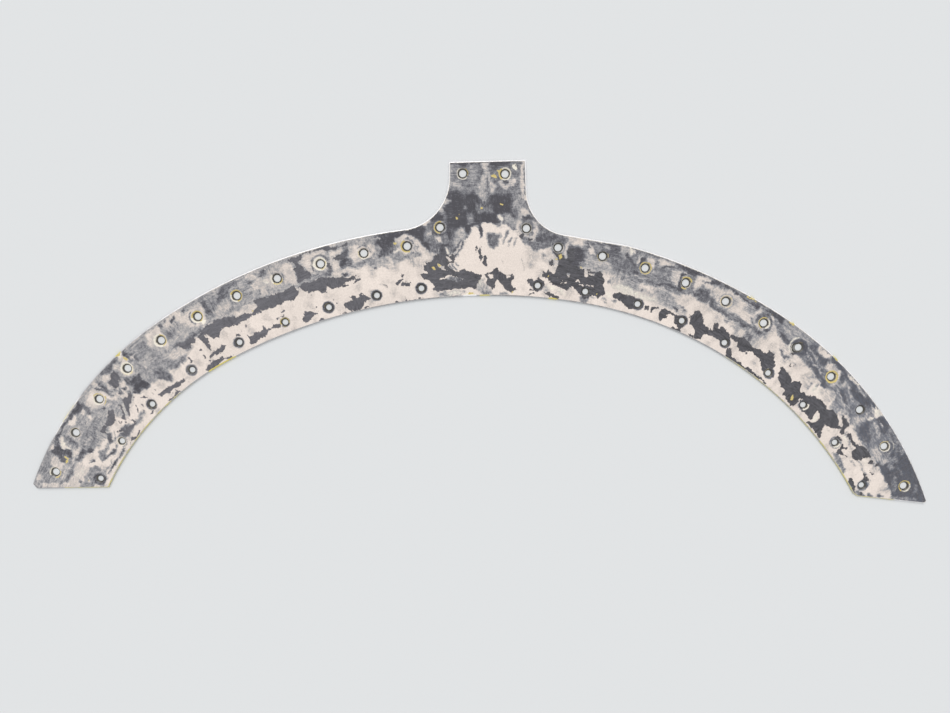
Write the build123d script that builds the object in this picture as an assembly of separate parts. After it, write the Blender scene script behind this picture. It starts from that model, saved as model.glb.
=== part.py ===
from build123d import *
from math import cos, degrees, hypot, radians, sin, sqrt, tan
import os

# Windshield retainer, in millimetres, at real size.
# One flat strip of sheet metal, cut to an arch, with a short stem at the crown.
# The sheet lies in the XY plane: its back is at Z = 0 and its painted face looks to +Z.
# The origin is midway between the two screw holes in the stem, on the back face.
# +X runs to the right foot and +Y up the stem, away from the feet.
# The strip was cut and drilled by hand, so its left and right sides differ a little.

# Sheet
SHEET_T = 1.6             # thickness of the sheet
FRONT_BREAK = 0.5         # bevel on the front edges, filed all round
BACK_BREAK = 0.25         # smaller bevel on the back edges

# Outer edge: a crown arc in the middle and a tighter shoulder arc on each side
OUTER_MIDDLE = -1.2       # middle of the crown arc, from the middle of the stem holes
OUTER_TOP = -32.0         # top of the crown arc, from the line of the stem holes
OUTER_CROWN_R = 378.5     # radius over the crown
OUTER_LEFT_DEG = 33.5     # the crown arc reaches this far to the left
OUTER_RIGHT_DEG = 31.3    # and this far to the right
OUTER_LEFT_R = 250.0      # radius along the left shoulder
OUTER_RIGHT_R = 277.5     # radius along the right shoulder

# Inner edge: arcs of its own, so the strip is about 45 wide on the left, 42 on the right
INNER_MIDDLE = 8.5
INNER_TOP = -77.3
INNER_CROWN_R = 369.0
INNER_LEFT_DEG = 28.4
INNER_RIGHT_DEG = 8.6
INNER_LEFT_R = 204.0
INNER_RIGHT_R = 270.5

# Stem
STEM_LEFT = 22.3          # left side, from the middle of the stem holes
STEM_RIGHT = 26.5         # right side at the top
STEM_LEAN_DEG = 3.0       # the right side leans out towards the arch
STEM_TOP = 7.9            # top edge above the holes, at their middle
STEM_SLANT_DEG = 2.1      # the top edge rises to the right
LEFT_NECK_R = 33.0        # fillets from the stem's sides into the arch
RIGHT_NECK_R = 29.0
CORNER_R = 0.8            # small rounding of the stem's two corners

# A shallow flat, filed on the outer edge from the right neck outwards
FLAT_END = 94.0           # the flat ends this far right of the stem holes
FLAT_DEPTH = 0.4          # depth of the flat where it meets the stem

# Feet: both ends were trimmed by hand, each at its own slant
FOOT_OUT = 278.0          # the middle of each foot, out from the stem holes
LEFT_FOOT_DROP = 210.3    # from the stem holes down to the left cut, at its middle
LEFT_FOOT_DEG = 1.4       # slant of the left cut
RIGHT_FOOT_DROP = 213.7   # the same for the right cut
RIGHT_FOOT_DEG = -5.9
LEFT_CLIP = 3.6           # clipped corner at the left foot's outer side
RIGHT_CLIP = 2.2          # clipped corners of the right foot
OUTER_REACH_DEG = 76.0    # the arcs are drawn on past the feet, which are then cut,
INNER_REACH_DEG = 88.0    # and the inner arcs reach lower than the outer ones

# Countersunk holes: larger flush screws outside, smaller ones inside
SINK_DEG = 100.0          # full angle of every countersink
SCREW_HOLE = 4.6          # holes of the outer row, neck and stem
SCREW_SINK = 7.8          # mouth of their countersinks
SKIN_HOLE = 3.8           # holes of the inner row
SKIN_SINK = 6.8           # mouth of their countersinks

# Outer row: distance in from the outer edge, first hole, then the steps along the row
LEFT_OUTER_IN = 10.9
LEFT_OUTER_STEPS = [48.0, 28.5, 29.0, 30.0, 29.0, 29.5, 29.5, 30.0, 29.0, 29.0, 31.5]
RIGHT_OUTER_IN = 10.6
RIGHT_OUTER_STEPS = [50.0, 29.5, 29.0, 28.5, 29.5, 29.5, 29.0, 30.5, 31.0, 31.5, 32.0]

# Inner row: distance out from the inner edge, first hole, then the steps along the row
LEFT_INNER_IN = 7.4
LEFT_INNER_STEPS = [48.5, 29.5, 32.5, 30.5, 33.5, 37.0, 36.5, 33.5, 31.0]
RIGHT_INNER_IN = 7.8
RIGHT_INNER_STEPS = [27.5, 31.5, 35.5, 31.5, 32.5, 36.5, 33.0, 35.0, 36.5]

# Neck and stem holes, as pairs about the middle
STEM_PITCH = 27.0         # between the two stem holes
NECK_PITCH = 55.7         # between the two neck holes
NECK_DROP = 33.9          # from the stem holes down to the neck holes

# One seat of the right outer row has been dragged out by a loose screw
WORN_NUMBER = 7           # counted from the middle
WORN_DRAG = 1.6           # how far the seat is drawn to the left
WORN_DEG = 190.0          # direction of the drag


class ArchEdge:
    """An edge made of a crown arc and one shoulder arc on each side of it."""

    def __init__(self, middle, top, crown_r, left_deg, right_deg, left_r, right_r):
        self.middle = middle
        self.crown_y = top - crown_r
        self.crown_r = crown_r
        self.half = {-1: radians(left_deg), 1: radians(right_deg)}
        self.shoulder_r = {-1: left_r, 1: right_r}

    def shoulder_centre(self, side):
        """Centre of a shoulder arc, on the radius where the crown arc ends."""
        reach = self.crown_r - self.shoulder_r[side]
        angle = self.half[side]
        return self.middle + side * reach * sin(angle), self.crown_y + reach * cos(angle)

    def point(self, side, station, inset):
        """A point that lies inset inside this edge, station millimetres from the
        middle of the crown along the line that is parallel to the edge."""
        radius = self.crown_r - inset
        angle = station / radius
        centre = (self.middle, self.crown_y)
        if angle > self.half[side]:
            past = station - radius * self.half[side]
            radius = self.shoulder_r[side] - inset
            angle = self.half[side] + past / radius
            centre = self.shoulder_centre(side)
        return centre[0] + side * radius * sin(angle), centre[1] + radius * cos(angle)

    def face(self, reach_deg):
        """The flat area under the edge, closed by a straight line past the feet."""
        left_deg = degrees(self.half[-1])
        right_deg = degrees(self.half[1])
        crown = CenterArc(
            (self.middle, self.crown_y), self.crown_r, 90 - right_deg, right_deg + left_deg
        )
        right = CenterArc(
            self.shoulder_centre(1), self.shoulder_r[1], 90 - reach_deg, reach_deg - right_deg
        )
        left = CenterArc(
            self.shoulder_centre(-1), self.shoulder_r[-1], 90 + left_deg, reach_deg - left_deg
        )
        return make_face([right, crown, left, Line(left @ 1, right @ 0)])


OUTER = ArchEdge(
    OUTER_MIDDLE, OUTER_TOP, OUTER_CROWN_R,
    OUTER_LEFT_DEG, OUTER_RIGHT_DEG, OUTER_LEFT_R, OUTER_RIGHT_R,
)
INNER = ArchEdge(
    INNER_MIDDLE, INNER_TOP, INNER_CROWN_R,
    INNER_LEFT_DEG, INNER_RIGHT_DEG, INNER_LEFT_R, INNER_RIGHT_R,
)


def stations(steps):
    """Distances along a row from the middle of the crown, from its list of steps."""
    places = []
    travel = 0.0
    for step in steps:
        travel += step
        places.append(travel)
    return places


def row_points(edge, side, steps, inset):
    """The places of one row's holes on one side, from the crown to the foot."""
    return [edge.point(side, station, inset) for station in stations(steps)]


def pair_points(pitch, drop):
    """Two places side by side, drop below the line of the stem holes."""
    return [(-pitch / 2, -drop), (pitch / 2, -drop)]


OUTER_LEFT = row_points(OUTER, -1, LEFT_OUTER_STEPS, LEFT_OUTER_IN)
OUTER_RIGHT = row_points(OUTER, 1, RIGHT_OUTER_STEPS, RIGHT_OUTER_IN)
INNER_LEFT = row_points(INNER, -1, LEFT_INNER_STEPS, -LEFT_INNER_IN)
INNER_RIGHT = row_points(INNER, 1, RIGHT_INNER_STEPS, -RIGHT_INNER_IN)
STEM_HOLES = pair_points(STEM_PITCH, 0)
NECK_HOLES = pair_points(NECK_PITCH, NECK_DROP)


def stem_face():
    """The stem with its slanted top, sunk into the arch where it will be joined."""
    slope = tan(radians(STEM_SLANT_DEG))
    foot_y = OUTER_TOP - 12
    right_top_y = STEM_TOP + slope * STEM_RIGHT
    lean = (right_top_y - foot_y) * tan(radians(STEM_LEAN_DEG))
    outline = Polyline(
        (-STEM_LEFT, foot_y),
        (-STEM_LEFT, STEM_TOP - slope * STEM_LEFT),
        (STEM_RIGHT, right_top_y),
        (STEM_RIGHT + lean, foot_y),
        close=True,
    )
    return make_face(outline)


def crown_height(x):
    """Height of the outer crown arc at a distance x right of the stem holes."""
    return OUTER.crown_y + sqrt(OUTER_CROWN_R ** 2 - (x - OUTER_MIDDLE) ** 2)


def flat_cutter():
    """The area above the flat, which takes the crown down beside the right neck."""
    neck_y = crown_height(STEM_RIGHT) - FLAT_DEPTH
    end_y = crown_height(FLAT_END)
    slope = (end_y - neck_y) / (FLAT_END - STEM_RIGHT)
    start_x = STEM_RIGHT - 8
    outline = Polyline(
        (start_x, neck_y - 8 * slope),
        (FLAT_END, end_y),
        (FLAT_END, end_y + 20),
        (start_x, end_y + 20),
        close=True,
    )
    return make_face(outline)


def nearest_vertex(face, x, y):
    """The corner of a flat face that is closest to a place."""
    return face.vertices().sort_by_distance((x, y))[0]


def with_stem(arch):
    """Join the stem to the arch, and round its two necks and its two top corners."""
    face = arch - flat_cutter() + stem_face()
    left_neck = nearest_vertex(face, -STEM_LEFT, crown_height(STEM_LEFT))
    face = fillet(left_neck, LEFT_NECK_R)
    right_neck = nearest_vertex(face, STEM_RIGHT + 2, crown_height(STEM_RIGHT))
    face = fillet(right_neck, RIGHT_NECK_R)
    return fillet(face.vertices().sort_by(Axis.Y)[-2:], CORNER_R)


def foot_cutter(side, drop, slant_deg):
    """A rectangle that takes away everything below one foot's cut line."""
    cutter = Rectangle(180, 300, align=(Align.CENTER, Align.MAX))
    return Pos(side * FOOT_OUT, -drop) * Rot(0, 0, slant_deg) * cutter


def clip_corners(face):
    """Clip the outer corner of the left foot and both corners of the right foot."""
    low = face.vertices().sort_by(Axis.Y)[:4].sort_by(Axis.X)
    face = chamfer(low[0], LEFT_CLIP)
    low = face.vertices().sort_by(Axis.Y)[:5].sort_by(Axis.X)
    return chamfer(low[-2:], RIGHT_CLIP)


def outline_face():
    """The whole flat outline: the strip with its stem and trimmed feet."""
    face = with_stem(OUTER.face(OUTER_REACH_DEG) - INNER.face(INNER_REACH_DEG))
    face = face - foot_cutter(-1, LEFT_FOOT_DROP, LEFT_FOOT_DEG)
    face = face - foot_cutter(1, RIGHT_FOOT_DROP, RIGHT_FOOT_DEG)
    return clip_corners(face)


def blank():
    """The sheet at full thickness with its edges broken, before the holes."""
    sheet = extrude(outline_face(), SHEET_T)
    front = sheet.faces().sort_by(Axis.Z)[-1]
    sheet = chamfer(front.outer_wire().edges(), FRONT_BREAK)
    back = sheet.faces().sort_by(Axis.Z)[0]
    return chamfer(back.outer_wire().edges(), BACK_BREAK)


def sink_cone(x, y, hole, mouth):
    """The countersink of one hole, from its mouth on the front down to the hole."""
    depth = (mouth - hole) / 2 / tan(radians(SINK_DEG / 2))
    lift = 0.2
    wide = mouth / 2 + lift * tan(radians(SINK_DEG / 2))
    cone = Cone(hole / 2, wide, depth + lift, align=(Align.CENTER, Align.CENTER, Align.MIN))
    return Pos(x, y, SHEET_T - depth) * cone


def drills(points, hole, mouth):
    """The tools for countersunk holes at these places: a straight bore and a cone each."""
    tools = []
    for x, y in points:
        tools.append(Pos(x, y, 0) * Cylinder(hole / 2, 3 * SHEET_T))
        tools.append(sink_cone(x, y, hole, mouth))
    return tools


def worn_seat():
    """The second cone that a loose screw has pressed beside one countersink."""
    x, y = OUTER_RIGHT[WORN_NUMBER - 1]
    x += WORN_DRAG * cos(radians(WORN_DEG))
    y += WORN_DRAG * sin(radians(WORN_DEG))
    return sink_cone(x, y, SCREW_HOLE, SCREW_SINK)


def windshield_retainer():
    """The finished strip with all of its countersunk holes."""
    tools = drills(OUTER_LEFT + OUTER_RIGHT, SCREW_HOLE, SCREW_SINK)
    tools += drills(NECK_HOLES + STEM_HOLES, SCREW_HOLE, SCREW_SINK)
    tools += drills(INNER_LEFT + INNER_RIGHT, SKIN_HOLE, SKIN_SINK)
    tools.append(worn_seat())
    return blank() - tools


os.makedirs("parts", exist_ok=True)
part = windshield_retainer()
part.label = "windshield_retainer"
export_step(part, "parts/windshield_retainer.step")

box = part.bounding_box()
print("size", round(box.size.X, 2), round(box.size.Y, 2), round(box.size.Z, 2))
print("solids", len(part.solids()), "volume", round(part.volume, 1), "valid", part.is_valid)
for name, left, right in (
    ("stem", STEM_HOLES[:1], STEM_HOLES[1:]),
    ("neck", NECK_HOLES[:1], NECK_HOLES[1:]),
    ("outer", OUTER_LEFT, OUTER_RIGHT),
    ("inner", INNER_LEFT, INNER_RIGHT),
):
    for number, (a, b) in enumerate(zip(left, right), 1):
        places = [round(value, 4) for value in (a[0], a[1], b[0], b[1])]
        print(name, number, *places, "apart", round(hypot(b[0] - a[0], b[1] - a[1]), 3))
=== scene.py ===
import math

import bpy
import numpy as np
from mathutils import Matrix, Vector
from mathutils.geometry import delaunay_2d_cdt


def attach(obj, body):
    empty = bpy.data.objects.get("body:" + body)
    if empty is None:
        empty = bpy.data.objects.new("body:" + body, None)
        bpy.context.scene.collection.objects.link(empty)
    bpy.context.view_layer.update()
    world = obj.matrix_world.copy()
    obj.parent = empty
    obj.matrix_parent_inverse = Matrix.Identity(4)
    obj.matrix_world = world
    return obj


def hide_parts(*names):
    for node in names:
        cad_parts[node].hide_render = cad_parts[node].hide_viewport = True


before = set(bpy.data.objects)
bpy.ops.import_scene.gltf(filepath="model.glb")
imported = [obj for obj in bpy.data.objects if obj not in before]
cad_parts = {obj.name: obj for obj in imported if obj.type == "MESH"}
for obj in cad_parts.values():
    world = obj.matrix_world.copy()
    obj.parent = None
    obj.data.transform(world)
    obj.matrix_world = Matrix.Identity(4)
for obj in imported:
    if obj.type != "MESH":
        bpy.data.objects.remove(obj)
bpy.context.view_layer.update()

# %% [markdown]
# # A worn windshield retainer
#
# The real part is one flat strip of sheet metal, cut to an arch with a short stem,
# countersunk along both edges and painted. Years of screws, scrapers and sealant have
# chipped the grey coat down to the cream one. Everything below is measured in
# millimetres in the frame's own axes, and turned to metres only when a mesh is made.

MM = 0.001

# %% [markdown]
# ## The outline
#
# The strip follows two arched edges. Each is a crown arc with a tighter shoulder arc on
# both sides, as a band saw and a file leave it. The outline could be traced from the
# frame's mesh, but worked out from its own radii it stays smooth at any spacing.

# %% Sizes of the strip
# lengths in millimetres; half is how far the crown arc reaches to each side, in degrees
SHEET_T = 1.6
OUTER = dict(middle=-1.2, top=-32.0, crown=378.5, half=(33.5, 31.3),
             shoulder=(250.0, 277.5))
INNER = dict(middle=8.5, top=-77.3, crown=369.0, half=(28.4, 8.6),
             shoulder=(204.0, 270.5))
STEM_LEFT, STEM_RIGHT, STEM_LEAN = 22.3, 26.5, math.radians(3.0)
STEM_TOP, STEM_SLANT = 7.9, math.radians(2.1)
LEFT_NECK_R, RIGHT_NECK_R, CORNER_R = 33.0, 29.0, 0.8
FLAT_END, FLAT_DEPTH = 94.0, 0.4
LEFT_FOOT, LEFT_FOOT_TURN = (-278.0, -210.3), math.radians(1.4)
RIGHT_FOOT, RIGHT_FOOT_TURN = (278.0, -213.7), math.radians(-5.9)
LEFT_CLIP, RIGHT_CLIP = 3.6, 2.2


def centre_of(edge, part):
    """Centre of an edge's crown arc (part 0) or of its left or right shoulder arc
    (part -1 or 1): the shoulder's centre lies on the radius where the crown arc ends."""
    crown_y = edge["top"] - edge["crown"]
    if part == 0:
        return np.array([edge["middle"], crown_y])
    side = (part + 1) // 2
    reach = edge["crown"] - edge["shoulder"][side]
    angle = math.radians(edge["half"][side])
    return np.array([edge["middle"] + part * reach * math.sin(angle),
                     crown_y + reach * math.cos(angle)])


def place(edge, station, inset):
    """Points from their station along an edge and their inset inside it:
    centre + (radius - inset) (sin a, cos a), where a grows with the station."""
    station, inset = np.broadcast_arrays(np.asarray(station, float), inset)
    point = np.zeros(station.shape + (2,))
    for side, sign in enumerate((-1, 1)):
        half, radius = math.radians(edge["half"][side]), edge["crown"]
        along = sign * station
        on_crown = along <= radius * half
        r = np.where(on_crown, radius, edge["shoulder"][side]) - inset
        angle = np.where(on_crown, along / radius,
                         half + (along - radius * half) / edge["shoulder"][side])
        centre = np.where(on_crown[..., None], centre_of(edge, 0), centre_of(edge, sign))
        here = centre + np.stack([sign * r * np.sin(angle), r * np.cos(angle)], -1)
        point = np.where((along >= 0)[..., None], here, point)
    return point


def station_of(edge, point):
    """The reverse of place: station and inset of points, from their angle and
    distance about the arc's centre."""
    from_crown = point - centre_of(edge, 0)
    angle = np.arctan2(from_crown[..., 0], from_crown[..., 1])
    station = angle * edge["crown"]
    inset = edge["crown"] - np.hypot(from_crown[..., 0], from_crown[..., 1])
    for side, sign in enumerate((-1, 1)):
        half, radius = math.radians(edge["half"][side]), edge["shoulder"][side]
        own = point - centre_of(edge, sign)
        turn = np.arctan2(sign * own[..., 0], own[..., 1])
        past = sign * angle > half
        on_shoulder = sign * (edge["crown"] * half + radius * (turn - half))
        station = np.where(past, on_shoulder, station)
        inset = np.where(past, radius - np.hypot(own[..., 0], own[..., 1]), inset)
    return station, inset


print("crown of the outer edge:", place(OUTER, 0.0, 0.0).round(2))

# %% Arcs, lines and where they meet
STEP = 0.9    # spacing of the outline's points


def arc(centre, radius, start, end):
    """Points about STEP apart along an arc: centre + radius (sin a, cos a)."""
    count = max(4, int(abs(end - start) * radius / STEP) + 1)
    angle = np.linspace(start, end, count)
    return np.asarray(centre) + radius * np.stack([np.sin(angle), np.cos(angle)], -1)


def bearing(centre, point):
    """Angle of a point about a centre, measured from +Y towards +X."""
    return math.atan2(point[0] - centre[0], point[1] - centre[1])


def run(start, end):
    """Points about STEP apart on a straight line."""
    count = max(3, int(np.linalg.norm(np.subtract(end, start)) / STEP) + 1)
    return np.linspace(start, end, count)


def cut(centre, radius, through, turn, side):
    """Where a straight cut through a point meets an arc, on the given side."""
    direction = np.array([math.cos(turn), math.sin(turn)])
    off = np.asarray(through, float) - centre
    b = off @ direction
    root = math.sqrt(b * b - off @ off + radius * radius)
    ends = [through + direction * (-b + sign * root) for sign in (-1, 1)]
    return max(ends, key=lambda end: side * end[0])


def line_fillet(corner, toward_a, toward_b, radius):
    """Arc of a radius that rounds a corner between two straight lines, from a to b."""
    a = (toward_a - corner) / np.linalg.norm(toward_a - corner)
    b = (toward_b - corner) / np.linalg.norm(toward_b - corner)
    half = math.acos(np.clip(a @ b, -1, 1)) / 2
    middle = (a + b) / np.linalg.norm(a + b)
    centre = corner + middle * radius / math.sin(half)
    reach = radius / math.tan(half)
    start, end = bearing(centre, corner + a * reach), bearing(centre, corner + b * reach)
    end = start + (end - start + math.pi) % (2 * math.pi) - math.pi
    return arc(centre, radius, start, end)


# %% The stem, its necks and the filed flat
crown_centre = centre_of(OUTER, 0)


def crown_y(x):
    """Height of the outer crown arc above a place on X."""
    return crown_centre[1] + math.sqrt(OUTER["crown"] ** 2 - (x - crown_centre[0]) ** 2)


slope = math.tan(STEM_SLANT)
top_left = np.array([-STEM_LEFT, STEM_TOP - slope * STEM_LEFT])
top_right = np.array([STEM_RIGHT, STEM_TOP + slope * STEM_RIGHT])
lean = math.tan(STEM_LEAN)

# the flat and the stem's leaning side, and the corner where they would meet
flat_start = np.array([STEM_RIGHT, crown_y(STEM_RIGHT) - FLAT_DEPTH])
flat_end = np.array([FLAT_END, crown_y(FLAT_END)])
flat_slope = (flat_end[1] - flat_start[1]) / (flat_end[0] - flat_start[0])
drop = (top_right[1] - flat_start[1]) / (1 + lean * flat_slope)
right_corner = np.array([STEM_RIGHT + lean * drop, top_right[1] - drop])

neck_reach = OUTER["crown"] + LEFT_NECK_R
neck_x = -STEM_LEFT - LEFT_NECK_R
neck = np.array([neck_x, crown_centre[1] + math.sqrt(
    neck_reach ** 2 - (neck_x - crown_centre[0]) ** 2)])
neck_turn = bearing(crown_centre, neck)
left_neck = arc(neck, LEFT_NECK_R, neck_turn + math.pi, math.pi / 2)
right_neck = line_fillet(right_corner, top_right, flat_end, RIGHT_NECK_R)
stem = np.concatenate([
    left_neck,
    line_fillet(top_left, left_neck[-1], top_right, CORNER_R),
    line_fillet(top_right, top_left, right_neck[0], CORNER_R),
    right_neck,
])
print("stem is", round(float(np.ptp(stem[:, 0])), 1), "mm wide at its necks")

# %% The whole outline, clockwise from the left foot


def shoulder(edge, side, start, end):
    """An edge's left or right shoulder arc between two bearings."""
    return arc(centre_of(edge, side), edge["shoulder"][(side + 1) // 2], start, end)


def foot_corner(edge, side, foot, turn):
    """Where one foot's cut meets an edge, and its bearing about the shoulder."""
    centre = centre_of(edge, side)
    corner = cut(centre, edge["shoulder"][(side + 1) // 2], foot, turn, side)
    return corner, bearing(centre, corner)


def toward(start, end, distance):
    """The point a distance along the way from start to end."""
    return start + (end - start) * distance / np.linalg.norm(end - start)


left_out, left_out_turn = foot_corner(OUTER, -1, LEFT_FOOT, LEFT_FOOT_TURN)
left_in, left_in_turn = foot_corner(INNER, -1, LEFT_FOOT, LEFT_FOOT_TURN)
right_out, right_out_turn = foot_corner(OUTER, 1, RIGHT_FOOT, RIGHT_FOOT_TURN)
right_in, right_in_turn = foot_corner(INNER, 1, RIGHT_FOOT, RIGHT_FOOT_TURN)
outer_half = np.radians(OUTER["half"])
inner_half = np.radians(INNER["half"])

pieces_of_outline = [
    shoulder(OUTER, -1, left_out_turn + LEFT_CLIP / OUTER["shoulder"][0], -outer_half[0]),
    arc(crown_centre, OUTER["crown"], -outer_half[0], neck_turn),
    stem,
    run(right_neck[-1], flat_end),
    arc(crown_centre, OUTER["crown"], bearing(crown_centre, flat_end), outer_half[1]),
    shoulder(OUTER, 1, outer_half[1], right_out_turn - RIGHT_CLIP / OUTER["shoulder"][1]),
    run(toward(right_out, right_in, RIGHT_CLIP), toward(right_in, right_out, RIGHT_CLIP)),
    shoulder(INNER, 1, right_in_turn - RIGHT_CLIP / INNER["shoulder"][1], inner_half[1]),
    arc(centre_of(INNER, 0), INNER["crown"], inner_half[1], -inner_half[0]),
    shoulder(INNER, -1, -inner_half[0], left_in_turn),
    run(left_in, toward(left_out, left_in, LEFT_CLIP)),
]
outline = np.concatenate(pieces_of_outline)
gap = np.linalg.norm(outline - np.roll(outline, 1, 0), axis=1)
outline = outline[gap > 0.05]    # where two pieces meet, their shared point is kept once
print("outline has", len(outline), "points and is", round(float(gap.sum())), "mm round")

# %% [markdown]
# ## Screw holes
#
# Each hole is a straight bore with a 100 degree countersink, so that a flush screw sits
# level with the sheet. The places come from the same lists a fitter would mark out:
# distances stepped off along each edge. One seat was dragged out by a loose screw.

# %% Where the holes are
SCREW, SKIN = (2.3, 3.9), (1.9, 3.4)    # bore and mouth radius of the two screw sizes
OUTER_IN, INNER_IN = (10.9, 10.6), (7.4, 7.8)
OUTER_STEPS = ([48.0, 28.5, 29.0, 30.0, 29.0, 29.5, 29.5, 30.0, 29.0, 29.0, 31.5],
               [50.0, 29.5, 29.0, 28.5, 29.5, 29.5, 29.0, 30.5, 31.0, 31.5, 32.0])
INNER_STEPS = ([48.5, 29.5, 32.5, 30.5, 33.5, 37.0, 36.5, 33.5, 31.0],
               [27.5, 31.5, 35.5, 31.5, 32.5, 36.5, 33.0, 35.0, 36.5])


def row(edge, side, steps, inset):
    """Hole centres stepped off along the line that runs inset inside an edge: the
    steps are on that line, so each is stretched to the edge's own radius."""
    travel = np.cumsum(steps)
    crown_r, shoulder_r = edge["crown"], edge["shoulder"][side]
    half = math.radians(edge["half"][side])
    bend = (crown_r - inset) * half
    on_crown = travel * crown_r / (crown_r - inset)
    on_shoulder = crown_r * half + (travel - bend) * shoulder_r / (shoulder_r - inset)
    station = np.where(travel <= bend, on_crown, on_shoulder)
    return place(edge, (2 * side - 1) * station, inset)


outer_holes = np.concatenate([row(OUTER, side, OUTER_STEPS[side], OUTER_IN[side])
                              for side in (0, 1)])
inner_holes = np.concatenate([row(INNER, side, INNER_STEPS[side], -INNER_IN[side])
                              for side in (0, 1)])
STEM_PITCH, NECK_PITCH, NECK_DROP = 27.0, 55.7, 33.9
stem_holes = np.array([[-STEM_PITCH / 2, 0.0], [STEM_PITCH / 2, 0.0],
                       [-NECK_PITCH / 2, -NECK_DROP], [NECK_PITCH / 2, -NECK_DROP]])
screw_holes = np.concatenate([stem_holes, outer_holes])
WORN = 4 + 11 + 6    # after stem, neck and left row: the seventh hole of the right row
DRAG, DRAG_BEARING = 1.6, math.radians(190)
WORN_SHIFT = DRAG * np.array([math.cos(DRAG_BEARING), math.sin(DRAG_BEARING)])
print(len(screw_holes), "larger holes,", len(inner_holes), "smaller; worn seat at",
      screw_holes[WORN].round(1))

# %% [markdown]
# ## From outline to sheet
#
# A flat face can be one big polygon, but paint that wears away in patches needs points
# to be written on. So the painted face is filled with a close net of triangles, held to
# the outline and to each countersink's mouth. The filed edge is a small profile carried
# round the outline, and each countersink a profile carried round its hole.

# %% Loops and their distances
NET, BACK_NET = 0.74, 4.0    # spacing of the net on the painted face and on the back
RIM_POINTS = 48              # points round each hole
AT_ONCE = 3000               # points measured at a time, to spare memory


def inset_loop(loop, distance):
    """A clockwise loop moved inwards: each point goes along its mitre, the sum of
    the two neighbouring right-hand normals divided by 1 + their cosine."""
    ahead = np.roll(loop, -1, 0) - loop
    ahead /= np.linalg.norm(ahead, axis=1)[:, None]
    normal = np.stack([ahead[:, 1], -ahead[:, 0]], -1)
    before = np.roll(normal, 1, 0)
    cosine = (normal * before).sum(1)[:, None]
    return loop + distance * (normal + before) / (1 + cosine)


def to_loop(points, loop):
    """Distance of points to a closed loop, and whether they lie inside it, by
    counting how often a ray towards +X crosses the loop."""
    a, b = loop, np.roll(loop, -1, 0)
    side = b - a
    square = (side ** 2).sum(1)
    distance, inside = np.zeros(len(points)), np.zeros(len(points), bool)
    for start in range(0, len(points), AT_ONCE):
        part = slice(start, start + AT_ONCE)
        p = points[part, None]
        t = np.clip(((p - a) * side).sum(-1) / square, 0, 1)
        distance[part] = np.sqrt(((a + t[..., None] * side - p) ** 2).sum(-1).min(1))
        spans = (a[:, 1] > p[..., 1]) != (b[:, 1] > p[..., 1])
        with np.errstate(divide="ignore", invalid="ignore"):
            crossing = a[:, 0] + (p[..., 1] - a[:, 1]) * side[:, 0] / side[:, 1]
        inside[part] = (spans & (p[..., 0] < crossing)).sum(1) % 2 == 1
    return distance, inside


def rings(centres, profile, shift=None):
    """A profile of (radius, height) carried round each centre. With a shift, the
    radius is that of two overlapping circles: the larger of r and the ray's reach
    to the shifted circle, d cos g + sqrt(r^2 - d^2 sin^2 g)."""
    angle = np.arange(RIM_POINTS) * 2 * math.pi / RIM_POINTS
    ray = np.stack([np.cos(angle), np.sin(angle)], -1)
    radius = np.repeat(profile[:, 0, None], RIM_POINTS, 1)
    if shift is not None:
        ahead, aside = ray @ shift, ray @ np.array([-shift[1], shift[0]])
        reach = ahead + np.sqrt(np.maximum(radius ** 2 - aside ** 2, 0))
        radius[:-2] = np.maximum(radius, reach)[:-2]
    flat = centres[:, None, None] + radius[None, ..., None] * ray
    height = np.broadcast_to(profile[:, 1, None], radius.shape)
    return np.concatenate([flat, np.broadcast_to(height[None, ..., None],
                                                 flat.shape[:-1] + (1,))], -1)


# %% Profiles of the edge and of the countersinks
# inset and height: a filed bevel in front, the side, and a smaller bevel at the back
EDGE = np.array([[0.62, 1.6], [0.44, 1.56], [0.04, 1.16], [0.0, 1.04], [0.0, 0.27],
                 [0.25, 0.0]])


LIP, HALF_CONE = 0.12, math.radians(50)    # rounding at a mouth, half of 100 degrees


def sink_profile(bore, mouth):
    """Radius and height of a countersink, from its slightly rounded mouth down to the
    back face: the cone drops by (mouth - radius) / tan 50 until it meets the bore."""
    cone = np.linspace(mouth - LIP, bore + 0.03, 5)
    drop = (mouth - cone) / math.tan(HALF_CONE)
    lip = [[mouth + LIP, SHEET_T], [mouth + 0.02, SHEET_T - 0.03]]
    foot = [[bore, SHEET_T - drop[-1] - 0.05], [bore, 0.0]]
    return np.concatenate([lip, np.stack([cone, SHEET_T - drop], -1), foot])


plain = np.arange(len(screw_holes)) != WORN
sinks = [rings(screw_holes[plain], sink_profile(*SCREW)),
         rings(screw_holes[[WORN]], sink_profile(*SCREW), WORN_SHIFT),
         rings(inner_holes, sink_profile(*SKIN))]
sinks = np.concatenate(sinks)
print(len(sinks), "countersinks of", sinks.shape[1] - 1, "bands each")


# %% The net of triangles on a flat face
STEM_TALL, STEM_WIDE, SEAT_WIDE = 45, 70, 7    # generous reaches of the stem and a seat


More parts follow.
